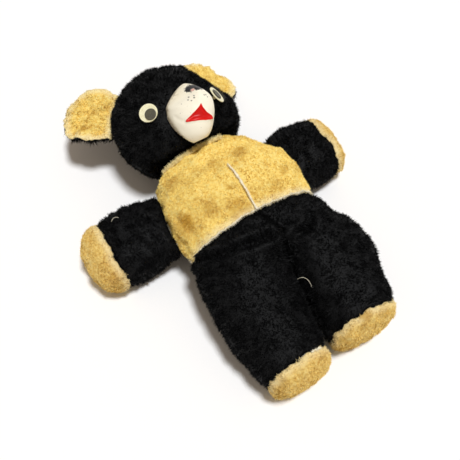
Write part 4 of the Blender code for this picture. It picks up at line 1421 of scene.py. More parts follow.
@dataclass(frozen=True)
class Arms:
    """Black arms and their tan paws."""

    torso: Torso
    root_y: float = 20.0 * MM
    root_half: float = 34.0 * MM
    root_low: float = 14.0 * MM
    root_top: float = 52.0 * MM
    middle_y: float = 25.0 * MM
    middle_half: float = 38.0 * MM
    middle_top: float = 52.0 * MM
    paw_y: tuple[float, float] = (26.0 * MM, 24.5 * MM)
    paw_half: tuple[float, float] = (36.0 * MM, 38.0 * MM)
    paw_top: float = 47.0 * MM
    roundness: float = 2.3
    paw_roundness: tuple[float, float] = (2.15, 2.4)
    reach: tuple[float, float] = (137.0 * MM, 153.0 * MM)
    paw_length: tuple[float, float] = (17.0 * MM, 28.0 * MM)
    pitch: float = 2.4 * MM

    def on(self, pair: tuple[float, float], side: Side) -> float:
        """A side's value of a left and right pair."""
        return pair[0] if side is Side.LEFT else pair[1]

    def stations(self, side: Side) -> tuple[tuple[float, ...], ...]:
        """Stations along an arm, from the torso's side to the paw seam."""
        root = self.torso.side(self.root_y, 0.5 * (self.root_low + self.root_top)) + SEAM_GAP
        seam = self.on(self.reach, side) - self.on(self.paw_length, side)
        paw = (self.on(self.paw_y, side), self.on(self.paw_half, side))
        return (
            (root, self.root_y, self.root_half, self.root_low, self.root_top),
            (0.5 * (root + seam), self.middle_y, self.middle_half, -SETTLE, self.middle_top),
            (seam, paw[0], paw[1], -SETTLE, self.paw_top),
        )

    def point(self, side: Side, x: float, angle: float, depth: float) -> Vector:
        """Point of an arm or its paw at a nominal distance from the middle plane."""
        stations = self.stations(side)
        root, middle, seam = (station[0] for station in stations)
        centre, half, low, top = follow(stations, x)
        length = self.on(self.paw_length, side)
        part = max(x - seam, 0.0) / length
        share = cap_share(part, self.on(self.paw_roundness, side))
        across, up = section_point(angle, (half, low, top), self.roundness, depth, share)
        y = centre + across
        fade = max(1.0 - max(x - root, 0.0) / (middle - root), 0.0) ** 2
        out = x + (self.torso.side(y, up) + SEAM_GAP - root) * fade
        if x > seam:
            out = seam + (length - depth) * part
        return Vector((side.sign * out, y, up))

    def build(self, shop: Workshop) -> None:
        """Makes both arms and both paws."""
        seam_turn = SEAM_GAP / min(self.paw_half)
        count = round(130.0 * MM / self.pitch / 2.0) * 2
        front = spaced(seam_turn, math.pi - seam_turn, count // 2 + 8)
        back = spaced(math.pi + seam_turn, 2.0 * math.pi - seam_turn, count // 2 + 8)
        loop = spaced(0.0, 2.0 * math.pi, count + 16)[:-1]
        for seed, side in enumerate((Side.LEFT, Side.RIGHT)):

            def surface(x: float, angle: float, depth: float, side: Side = side) -> Vector:
                """This side's surface."""
                return self.point(side, x, angle, depth)

            start, _, seam = (station[0] for station in self.stations(side))
            last = seam - 0.5 * SEAM_GAP
            rows = spaced(start, last, round((last - start) / self.pitch))
            wrist = Wander((side.sign * seam, 0.0, 0.0), (1.0, 0.0, 0.0), 2.6 * MM, 9.0 * MM, 13.0 * MM, 65.0 + seed)
            arm_cloth = Cloth(
                lump=1.5 * MM,
                lump_size=14.0 * MM,
                comb=(0.0, -0.1, 0.0),
                edge_comb=0.5,
                deepest=4.0 * MM,
                creases=(
                    Crease(((-0.105, 0.030, 0.051), (-0.104, 0.018, 0.050), (-0.096, 0.000, 0.046)), 2.6 * MM, 4.0 * MM),
                    Crease(((0.090, 0.048, 0.044), (0.094, 0.028, 0.050), (0.090, 0.008, 0.046)), 1.8 * MM, 4.0 * MM),
                ),
                wanders=(wrist,),
            )
            paw_cloth = Cloth(
                sink=1.4 * MM,
                dip=1.6 * MM,
                lump=1.4 * MM,
                lump_size=10.0 * MM,
                pucker=0.9 * MM,
                edge_comb=0.5,
                wanders=(wrist,),
            )
            for name, columns, offset in (("arm_front_", front, 21.0), ("arm_back_", back, 23.0)):
                panel = Panel(name + side.word, surface, rows, columns, arm_cloth, offset + seed)
                shop.cover(panel, Slot.BLACK, [name + side.word])
            name = "paw_cap_" + side.word
            caps = cap_places(seam, self.on(self.reach, side), self.on(self.paw_roundness, side), 20)
            paw_rows = [seam + 0.5 * SEAM_GAP] + caps
            panel = Panel(name, surface, paw_rows, loop, paw_cloth, 25.0 + seed, closed=True)
            shop.cover(panel, Slot.TAN, [name])
            rings = [[surface(x, angle, INSIDE) for angle in loop[::3]] for x in rows[2::4] + paw_rows[1:-1:4]]
            shop.wad("arm_stuffing_" + side.word, rings)


@dataclass(frozen=True)
class Head:
    """Black head, a turned and tilted egg that rests on the torso's neck end."""

    torso: Torso
    centre: Triple = (-5.5 * MM, 111.5 * MM, 50.5 * MM)
    half: Triple = (66.5 * MM, 64.0 * MM, 53.5 * MM)
    yaw: float = math.radians(-9.0)
    turn: float = math.radians(9.0)
    nod: float = math.radians(1.0)
    seam: float = math.radians(-13.0)
    chin_z: float = 64.0 * MM
    chin_slope: float = 0.75
    temple_turn: float = math.radians(18.3)
    temple_tilt: float = math.radians(34.0)
    temple_reach: float = 52.8 * MM
    pitch: float = 2.4 * MM

    @property
    def temple_out(self) -> Vector:
        """Direction out of the flat above the left ear."""
        level = math.cos(self.temple_tilt)
        return Vector((
            math.cos(self.temple_turn) * level,
            math.sin(self.temple_turn) * level,
            math.sin(self.temple_tilt),
        ))

    @property
    def frame(self) -> Matrix:
        """The head's own frame."""
        return (
            Matrix.Translation(self.centre)
            @ Matrix.Rotation(self.nod, 4, "X")
            @ Matrix.Rotation(self.turn, 4, "Y")
            @ Matrix.Rotation(self.yaw, 4, "Z")
        )

    def neck_plane(self, z: float) -> float:
        """How near the head comes to the torso at a height."""
        return self.torso.neck_y + SEAM_GAP - self.chin_slope * max(z - self.chin_z, 0.0)

    def point(self, turn: float, angle: float, depth: float, shift: float) -> Vector:
        """Point of the head: turn runs from the neck to the crown, angle round the face."""
        half = Vector(self.half) - Vector((depth, depth, depth))
        local = Vector((
            half.x * math.sin(turn) * math.cos(angle),
            -half.y * math.cos(turn),
            half.z * math.sin(turn) * math.sin(angle) + shift,
        ))
        point = self.frame @ local
        point.z = max(point.z, depth)
        point.y = max(point.y, self.neck_plane(point.z) + depth)
        out = self.temple_out
        beyond = (point - Vector(self.centre)).dot(out) + depth - self.temple_reach
        return point - out * max(beyond, 0.0)

    def hit(self, place: Vector, direction: Vector, depth: float) -> Vector:
        """Where a line in the head's own frame meets its face, a depth inside the pile."""
        half = Vector(self.half) - Vector((depth, depth, depth))
        start = Vector((place.x / half.x, place.y / half.y, place.z / half.z))
        way = Vector((direction.x / half.x, direction.y / half.y, direction.z / half.z))
        cross = start.dot(way)
        square = way.dot(way)
        root = max(cross * cross - square * (start.dot(start) - 1.0), 0.0)
        return place + direction * ((math.sqrt(root) - cross) / square)

    def face_frame(self, sideways: float, below: float, lean: float = 0.0) -> Matrix:
        """Frame on the face, in the head's own frame, with Z out of it and Y up the face."""
        place = self.hit(Vector((sideways, -below, 0.0)), Vector((0.0, 0.0, 1.0)), 0.0)
        half = self.half
        out = Vector((place.x / half[0] ** 2, place.y / half[1] ** 2, place.z / half[2] ** 2))
        out.normalize()
        right = Vector((0.0, 1.0, 0.0)).cross(out).normalized()
        up = out.cross(right)
        turned_right = right * math.cos(lean) + up * math.sin(lean)
        turned_up = up * math.cos(lean) - right * math.sin(lean)
        result = Matrix((turned_right, turned_up, out)).transposed().to_4x4()
        result.translation = place
        return result

    def build(self, shop: Workshop, muzzle: "Muzzle", eyes: "Eyes") -> None:
        """Makes the head's front, with room for the muzzle and eyes, and its back."""
        gap = 0.5 * SEAM_GAP
        rows = spaced(0.0, math.pi, round(math.pi * 62.0 * MM / self.pitch))
        around = round((math.pi - 2.0 * self.seam) * 60.0 * MM / self.pitch)
        upper = spaced(self.seam, math.pi - self.seam, around)
        lower = spaced(math.pi - self.seam, 2.0 * math.pi + self.seam, around)

        def front(turn: float, angle: float, depth: float) -> Vector:
            """The head's front."""
            return self.point(turn, angle, depth, gap)

        def back(turn: float, angle: float, depth: float) -> Vector:
            """The head's back."""
            return self.point(turn, angle, depth, -gap)

        def keep(turn: float, angle: float) -> bool:
            """Leaves out the cells behind the muzzle."""
            return muzzle.inside(front(turn, angle, 0.0)) > -2.6 * MM

        def bare(place: Vector) -> float:
            """No pile under the muzzle's edge or the eyes."""
            return min(ease((muzzle.inside(place) + 1.6 * MM) / (1.2 * MM)), eyes.clear_of(place))

        cloth = Cloth(lump=0.9 * MM, lump_size=20.0 * MM, pucker=0.4 * MM, comb=(0.0, -0.12, 0.0))
        panel = Panel("head_front", front, rows, upper, cloth, 31.0, keep, bare=bare)
        shop.cover(panel, Slot.BLACK, ["head_front"])
        panel = Panel("head_back", back, rows, lower, cloth, 32.0)
        shop.cover(panel, Slot.BLACK, ["head_back"])
        loop = spaced(0.0, 2.0 * math.pi, 32)[:-1]
        rings = [[self.point(turn, angle, INSIDE, 0.0) for angle in loop] for turn in rows[6:-6:6]]
        shop.wad("head_stuffing", rings)


@dataclass(frozen=True)
class Ears:
    """Two floppy ears, tan in front and black behind."""

    head: Head
    cloth: float = 3.6 * MM
    reach: tuple[float, float] = (50.0 * MM, 52.5 * MM)
    base_half: float = 26.0 * MM
    wide_half: float = 33.0 * MM
    wide_at: float = 0.45
    roundness: float = 2.2
    cup: tuple[float, float] = (1.0 * MM, 7.0 * MM)
    angle: tuple[float, float] = (math.radians(46.0), math.radians(60.0))
    bend: tuple[float, float] = (math.radians(17.0), math.radians(20.0))

    def point(self, side: Side, across: float, out: float, height: float) -> Vector:
        """Point of an ear: across and out run over its cloth, height is above its middle."""
        index = 0 if side is Side.LEFT else 1
        angle = self.angle[index]
        bend = self.bend[index]
        half_x, half_y, half_z = self.head.half
        seam = self.head.seam
        seam_side = Vector((side.sign * half_x * math.cos(seam), 0.0, half_z * math.sin(seam)))
        wide = seam_side.normalized()
        long = Vector((0.0, 1.0, 0.0))
        up = wide.cross(long) * side.sign
        away = wide * math.sin(angle) + long * math.cos(angle)
        along = wide * math.cos(angle) - long * math.sin(angle)
        if out < self.wide_at:
            half = self.base_half + (self.wide_half - self.base_half) * ease(out / self.wide_at)
        else:
            half = self.wide_half * cap_share((out - self.wide_at) / (1.0 - self.wide_at), self.roundness)
        reach_wide = seam_side.length + SEAM_GAP
        reach_long = half_y + SEAM_GAP
        start = (across * half * math.cos(angle) / reach_wide, -across * half * math.sin(angle) / reach_long)
        way = (math.sin(angle) / reach_wide, math.cos(angle) / reach_long)
        cross = start[0] * way[0] + start[1] * way[1]
        square = way[0] ** 2 + way[1] ** 2
        inside = 1.0 - start[0] ** 2 - start[1] ** 2
        base = (math.sqrt(cross * cross + square * inside) - cross) / square
        middle = 1.0 / math.sqrt(square)
        reach = self.reach[index] * math.sin(bend * out) / bend
        drop = self.reach[index] * (1.0 - math.cos(bend * out)) / bend
        cup = self.cup[index] * (across * half / self.wide_half) ** 2 * ease(2.0 * out)
        normal = up * math.cos(bend * out) + away * math.sin(bend * out)
        place = along * across * half - up * drop
        place += away * (middle + (base - middle) * (1.0 - out) ** 2 + reach)
        return self.head.frame @ (place + normal * (cup + height))

    def build(self, shop: Workshop) -> None:
        """Makes the two layers of both ears."""
        gap = 0.5 * SEAM_GAP
        rows = spaced(0.0, self.wide_at, 11)
        turns = spaced(0.0, 0.5 * math.pi, 14)[1:]
        rows += [self.wide_at + (1.0 - self.wide_at) * math.sin(turn) for turn in turns]
        columns = spaced(-1.0, 1.0, 28)
        for seed, side in enumerate((Side.LEFT, Side.RIGHT)):
            root = self.point(side, 0.0, 0.0, 0.0)
            tip = self.point(side, 0.0, 1.0, 0.0)
            edges = [self.point(side, across, self.wide_at, 0.0) for across in (-1.0, 1.0)]
            wide = (edges[1] - edges[0]).normalized()
            long = (tip - root).normalized()
            up = long.cross(wide).normalized()
            wanders = (
                Wander(tuple(tip), tuple(long), 2.6 * MM, 14.0 * MM, 9.0 * MM, 71.0 + seed),
                Wander(tuple(edges[0]), tuple(wide), 2.2 * MM, 8.0 * MM, 8.0 * MM, 73.0 + seed),
                Wander(tuple(edges[1]), tuple(wide), 2.2 * MM, 8.0 * MM, 8.0 * MM, 75.0 + seed),
                Wander(tuple(tip), tuple(up), 3.0 * MM, 60.0 * MM, 11.0 * MM, 77.0 + seed),
            )
            front_cloth = Cloth(
                sink=1.4 * MM,
                thickness=1.0 * MM,
                dip=1.2 * MM,
                dip_width=4.0 * MM,
                lump=1.8 * MM,
                lump_size=7.0 * MM,
                pucker=0.9 * MM,
                deepest=2.3 * MM,
                edge_comb=-0.3,
                wanders=wanders,
            )
            back_cloth = Cloth(
                sink=1.2 * MM,
                thickness=1.0 * MM,
                dip=1.0 * MM,
                deepest=2.0 * MM,
                edge_comb=1.3,
                wanders=wanders,
            )
            for name, cloth, sign, slot in (
                ("ear_front_", front_cloth, 1.0, Slot.TAN),
                ("ear_back_", back_cloth, -1.0, Slot.BLACK),
            ):

                def surface(out: float, across: float, depth: float, side: Side = side, sign: float = sign) -> Vector:
                    """One layer of one ear."""
                    height = sign * (gap + self.cloth * (1.0 - depth / COVER))
                    return self.point(side, across, out, height)

                panel = Panel(name + side.word, surface, rows, columns, cloth, 41.0 + seed + 4.0 * sign)
                shop.cover(panel, slot, [name + side.word])


@dataclass(frozen=True)
class Muzzle:
    """Hollow moulded muzzle with painted nose, freckles and mouth."""

    head: Head
    sideways: float = 0.0
    below: float = 27.0 * MM
    half_width: float = 22.0 * MM
    half_length: float = 28.0 * MM
    egg: float = -0.05
    lean: float = math.radians(-8.0)
    rise: float = 17.0 * MM
    nose_share: float = 0.25
    roundness: float = 2.2
    corners: float = 1.8
    wall: float = 2.0 * MM
    collar: float = 2.5 * MM
    sag: float = 0.40
    skew: float = 0.22
    nose_shift: tuple[float, float] = (11.0 * MM, -3.0 * MM)
    chin_shift: float = -5.0 * MM
    trim: float = 0.36
    shift_height: float = 10.0 * MM
    shift_length: float = 20.0 * MM
    turns: int = 150
    rings: int = 64
    mouth: tuple[tuple[float, float], ...] = (
        (6.1, -2.0),
        (7.3, -6.0),
        (10.6, -10.3),
        (15.2, -12.2),
        (16.6, -12.8),
        (16.4, -15.4),
        (14.0, -16.5),
        (8.5, -17.6),
        (0.0, -17.6),
        (-6.5, -17.5),
        (-9.4, -17.0),
        (-8.6, -15.2),
        (-4.2, -12.0),
        (0.6, -8.3),
        (4.0, -5.0),
    )

    @property
    def frame(self) -> Matrix:
        """The muzzle's frame on the face, in the head's own frame."""
        return self.head.face_frame(self.sideways, self.below, self.lean)

    def right_share(self, along: float) -> float:
        """How wide the bear's right half of the outline is, from chin (-1) to nose (1)."""
        return 1.0 - self.trim * ease(along) - 0.05 * math.exp(-((along / 0.12) ** 2))

    def outline(self, turn: float, grow: float = 0.0) -> tuple[float, float]:
        """Point of the outline at a turn round it, grown outwards."""
        wide = (self.half_width + grow) * (1.0 - self.egg * math.sin(turn))
        if math.cos(turn) < 0.0:
            wide *= self.right_share(power(math.sin(turn), 2.0 / self.corners))
        across = wide * power(math.cos(turn), 2.0 / self.corners)
        return across, (self.half_length + grow) * power(math.sin(turn), 2.0 / self.corners)

    def inside(self, place: Vector) -> float:
        """How far a place on the face lies outside the outline, less than 0 within it."""
        local = (self.head.frame @ self.frame).inverted() @ place
        if local.z < -40.0 * MM:
            return 1.0
        wide = self.half_width * (1.0 - self.egg * local.y / self.half_length)
        if local.x < 0.0:
            wide *= self.right_share(local.y / self.half_length)
        value = (abs(local.x) / wide) ** self.corners + (abs(local.y) / self.half_length) ** self.corners
        reach = Vector((local.x, local.y)).length
        if reach < 1e-6:
            return -self.half_width
        return reach * (1.0 - value ** (-1.0 / self.corners))

    def ring(self, share: float, depth: float, height: float) -> list[Vector]:
        """Ring of the muzzle: the outline shrunk to a share and raised above the face."""
        local = self.frame
        out = local.to_3x3() @ Vector((0.0, 0.0, 1.0))
        drift = local.to_3x3() @ Vector((self.skew, -self.sag, 0.0))
        points = []
        for turn in spaced(0.0, 2.0 * math.pi, self.turns)[:-1]:
            x, y = self.outline(turn)
            start = local @ Vector((x * share, y * share, 0.0)) - out * self.head.half[2]
            base = self.head.hit(start, out, depth)
            nose = 1.0 + self.nose_share * y * share / self.half_length
            raised = ease(height / self.shift_height)
            upper = ease(y * share / self.shift_length) * raised
            lower = ease(-y * share / self.shift_length) * raised
            lopsided = 0.3 + 0.7 * ease((0.2 * self.half_width - x * share) / self.half_width)
            pull = Vector((
                self.nose_shift[0] * upper * lopsided,
                self.nose_shift[1] * upper + self.chin_shift * lower,
                0.0,
            ))
            lifted = base + out * height * nose + drift * max(height - self.collar, 0.0) + local.to_3x3() @ pull
            point = self.head.frame @ lifted
            room = 3.0 * MM if depth > 0.0 else 0.0
            point.y = max(point.y, self.head.neck_plane(point.z) + depth + room)
            points.append(point)
        return points

    @staticmethod
    def polygon_distance(corners: Sequence[tuple[float, float]], x: float, y: float) -> float:
        """Signed distance to a polygon, more than 0 inside it."""
        best = 1e9
        within = False
        for (ax, ay), (bx, by) in zip(corners, tuple(corners[1:]) + tuple(corners[:1])):
            ex, ey = bx - ax, by - ay
            part = min(max(((x - ax) * ex + (y - ay) * ey) / (ex * ex + ey * ey), 0.0), 1.0)
            best = min(best, math.hypot(x - ax - ex * part, y - ay - ey * part))
            if (ay > y) != (by > y) and x < ax + (y - ay) * ex / ey:
                within = not within
        return best if within else -best

    def carve(self, mesh: bpy.types.Mesh) -> None:
        """Presses the mouth in, raises its lip, and keeps where the paint goes."""
        inverse = (self.head.frame @ self.frame).inverted()
        normals = [vert.normal.copy() for vert in mesh.vertices]
        mouths, noses, rims, places = [], [], [], []
        for vert, normal in zip(mesh.vertices, normals):
            local = inverse @ vert.co / MM
            mouth = self.polygon_distance(self.mouth, local.x, local.y)
            nose = 1.0 - math.hypot((local.x - 5.8) / 8.2, (local.y - 18.0) / 5.4)
            mouths.append(mouth)
            noses.append(nose * 4.0)
            start = self.frame @ Vector((local.x * MM, local.y * MM, -self.head.half[2]))
            base = self.head.hit(start, self.frame.to_3x3() @ Vector((0.0, 0.0, 1.0)), 0.0)
            above = (self.frame.inverted() @ base).z / MM
            rims.append(1.0 - ease((local.z - above - 1.0) / 9.0))
            places.extend((local.x, local.y, 0.0))
            lift = 0.0
            if mouth > -3.0:
                lip = math.exp(-(((local.y + 15.6 - 0.06 * (local.x - 4.0)) / 1.5) ** 2)) * ease((mouth + 1.0) / 2.0)
                lift = -1.3 * ease(mouth / 2.0) + 1.7 * lip + 0.25 * math.exp(-((mouth / 0.9) ** 2))
            nostril = math.hypot((local.x - 4.0) / 6.0, (local.y - 16.0) / 4.0)
            lift += 0.9 * math.exp(-(nostril**2))
            smile = abs(math.hypot(local.x + 4.0, local.y + 3.0) - 14.5)
            if local.x < -8.0 and -18.0 < local.y < -8.0:
                lift -= 0.45 * math.exp(-((smile / 1.3) ** 2)) * ease((-8.0 - local.x) / 2.0)
            lift += 0.25 * bumps(vert.co, 9.0 * MM, 51.0)
            vert.co += normal * lift * MM
        for name, values in (("mouth", mouths), ("nose", noses), ("rim", rims)):
            mesh.attributes.new(name, "FLOAT", "POINT").data.foreach_set("value", values)
        mesh.attributes.new("face_place", "FLOAT_VECTOR", "POINT").data.foreach_set("vector", places)

    def build(self, finish: bpy.types.Material) -> None:
        """Makes the shell from its rings, carves it and gives it a wall."""
        bm = bmesh.new()
        behind = COVER + 1.0 * MM
        rings = [self.ring(1.0, behind, 0.0), self.ring(1.0, 1.5 * MM, 0.0)]
        for turn in spaced(0.0, 0.5 * math.pi * (1.0 - 0.3 / self.rings), self.rings):
            share = math.cos(turn) ** (2.0 / self.roundness)
            height = math.sin(turn) ** (2.0 / self.roundness)
            rings.append(self.ring(share, 0.0, self.collar + self.rise * height))
        grid = [[bm.verts.new(point) for point in ring] for ring in rings]
        for lower, upper in zip(grid, grid[1:]):
            for column in range(self.turns):
                after = (column + 1) % self.turns
                bm.faces.new((lower[column], lower[after], upper[after], upper[column]))
        bm.faces.new(grid[-1])
        bmesh.ops.remove_doubles(bm, verts=bm.verts, dist=WELD)
        bmesh.ops.recalc_face_normals(bm, faces=bm.faces)
        top = max(bm.faces, key=lambda face: face.calc_center_median().z)
        if top.normal.z < 0.0:
            bmesh.ops.reverse_faces(bm, faces=bm.faces)
        mesh = bpy.data.meshes.new("muzzle_shell")
        bm.to_mesh(mesh)
        bm.free()
        self.carve(mesh)
        mesh.shade_smooth()
        item = add_object("muzzle_shell", mesh)
        modifier = item.modifiers.new("wall", "SOLIDIFY")
        modifier.thickness = self.wall
        modifier.offset = -1.0
        solid = evaluated_mesh(item, "muzzle_shell")
        item.modifiers.remove(modifier)
        solid.materials.clear()
        solid.materials.append(finish)
        item.data = solid
        declare(item, ["muzzle"])


@dataclass(frozen=True)
class Eyes:
    """Two wiggle eyes: a yellowed cup, a loose dark pupil and a clear dome."""

    head: Head
    sideways: tuple[float, float] = (31.6 * MM, 36.4 * MM)
    below: tuple[float, float] = (14.6 * MM, 16.5 * MM)
    radius: float = 9.1 * MM
    base: float = 0.3 * MM
    floor: float = 1.2 * MM
    skirt: float = 1.3 * MM
    rise: float = 2.6 * MM
    wall: float = 0.7 * MM
    pupil_radius: float = 5.6 * MM
    pupil_thick: float = 0.9 * MM
    slide: tuple[tuple[float, float], ...] = ((-2.4 * MM, -1.4 * MM), (1.4 * MM, -2.8 * MM))
    clearance: float = 0.3 * MM
    shank: float = 1.8 * MM
    left_aim: Triple = (0.772, -0.082, 0.618)
    lift: tuple[float, float] = (1.9 * MM, 0.2 * MM)
    turns: int = 64

    def place(self, side: Side) -> Matrix:
        """An eye's frame, with Z out of the face; the left one leans on its shank."""
        index = 0 if side is Side.LEFT else 1
        face = self.head.face_frame(side.sign * self.sideways[index], self.below[index])
        place = self.head.frame @ face @ Matrix.Translation((0.0, 0.0, self.lift[index]))
        if side is Side.LEFT:
            out = place.to_3x3() @ Vector((0.0, 0.0, 1.0))
            lean = out.rotation_difference(Vector(self.left_aim)).to_matrix().to_4x4()
            middle = Matrix.Translation(place.translation)
            place = middle @ lean @ middle.inverted() @ place
        return place

    def clear_of(self, place: Vector) -> float:
        """0 under an eye, 1 away from both."""
        value = 1.0
        for side in Side:
            local = self.place(side).inverted() @ place
            reach = math.hypot(local.x, local.y)
            if abs(local.z) < 20.0 * MM:
                value = min(value, ease((reach - self.radius + 1.4 * MM) / (1.0 * MM)))
        return value

    def lathe(
        self, name: str, place: Matrix, profile: Sequence[tuple[float, float]], finish: bpy.types.Material
    ) -> bpy.types.Object:
        """Turns a closed profile of radius and height pairs about a frame's Z."""
        bm = bmesh.new()
        rings = []
        for radius, height in profile:
            if radius > 0.0:
                turns = spaced(0.0, 2.0 * math.pi, self.turns)[:-1]
                ring = [(radius * math.cos(turn), radius * math.sin(turn), height) for turn in turns]
            else:
                ring = [(0.0, 0.0, height)]
            rings.append([bm.verts.new(place @ Vector(spot)) for spot in ring])
        for first, second in zip(rings, rings[1:] + rings[:1]):
            for column in range(self.turns):
                after = (column + 1) % self.turns
                if len(first) == 1 and len(second) > 1:
                    bm.faces.new((first[0], second[after], second[column]))
                elif len(second) == 1 and len(first) > 1:
                    bm.faces.new((first[column], first[after], second[0]))
                elif len(first) > 1:
                    bm.faces.new((first[column], first[after], second[after], second[column]))
        bmesh.ops.recalc_face_normals(bm, faces=bm.faces)
        mesh = bpy.data.meshes.new(name)
        bm.to_mesh(mesh)
        bm.free()
        mesh.materials.append(finish)
        mesh.shade_smooth()
        mesh.set_sharp_from_angle(angle=math.radians(40.0))
        return add_object(name, mesh)

    def dome(self, radius: float, rise: float, base: float) -> list[tuple[float, float]]:
        """Quarter of an ellipse, from its rim to its top."""
        turns = spaced(0.0, math.pi / 2.0, 14)
        points = [(radius * math.cos(turn), base + rise * math.sin(turn)) for turn in turns[:-1]]
        return points + [(0.0, base + rise)]

    def build(self, white: bpy.types.Material, black: bpy.types.Material, clear: bpy.types.Material) -> None:
        """Makes both eyes."""
        soft = 0.25 * MM
        top = self.base + self.floor
        low = top + self.clearance
        rim = self.radius
        inner = rim - self.wall
        bottom = -COVER
        cup = [(0.0, bottom), (self.shank, bottom), (self.shank, self.base), (rim - soft, self.base)]
        cup += [(rim, self.base + soft), (rim, top - soft), (rim - soft, top), (0.0, top)]
        dome = [(rim, low)] + self.dome(rim, self.rise, low + self.skirt)
        hollow = [(inner, low)] + self.dome(inner, self.rise - self.wall, low + self.skirt)
        disc = [(0.0, low), (self.pupil_radius - soft, low), (self.pupil_radius, low + soft)]
        disc += [(self.pupil_radius, low + self.pupil_thick - soft)]
        disc += [(self.pupil_radius - soft, low + self.pupil_thick), (0.0, low + self.pupil_thick)]
        for side in Side:
            place = self.place(side)
            across, down = self.slide[0 if side is Side.LEFT else 1]
            slide = Matrix.Translation((across, down, 0.0))
            item = self.lathe("eye_white_" + side.word, place, cup, white)
            declare(item, ["eye_cup_" + side.word])
            item = self.lathe("pupil_" + side.word, place @ slide, disc, black)
            declare(item, ["eye_pupil_" + side.word])
            item = self.lathe("clear_dome_" + side.word, place, dome + list(reversed(hollow)), clear)
            declare(item, ["eye_dome_" + side.word])


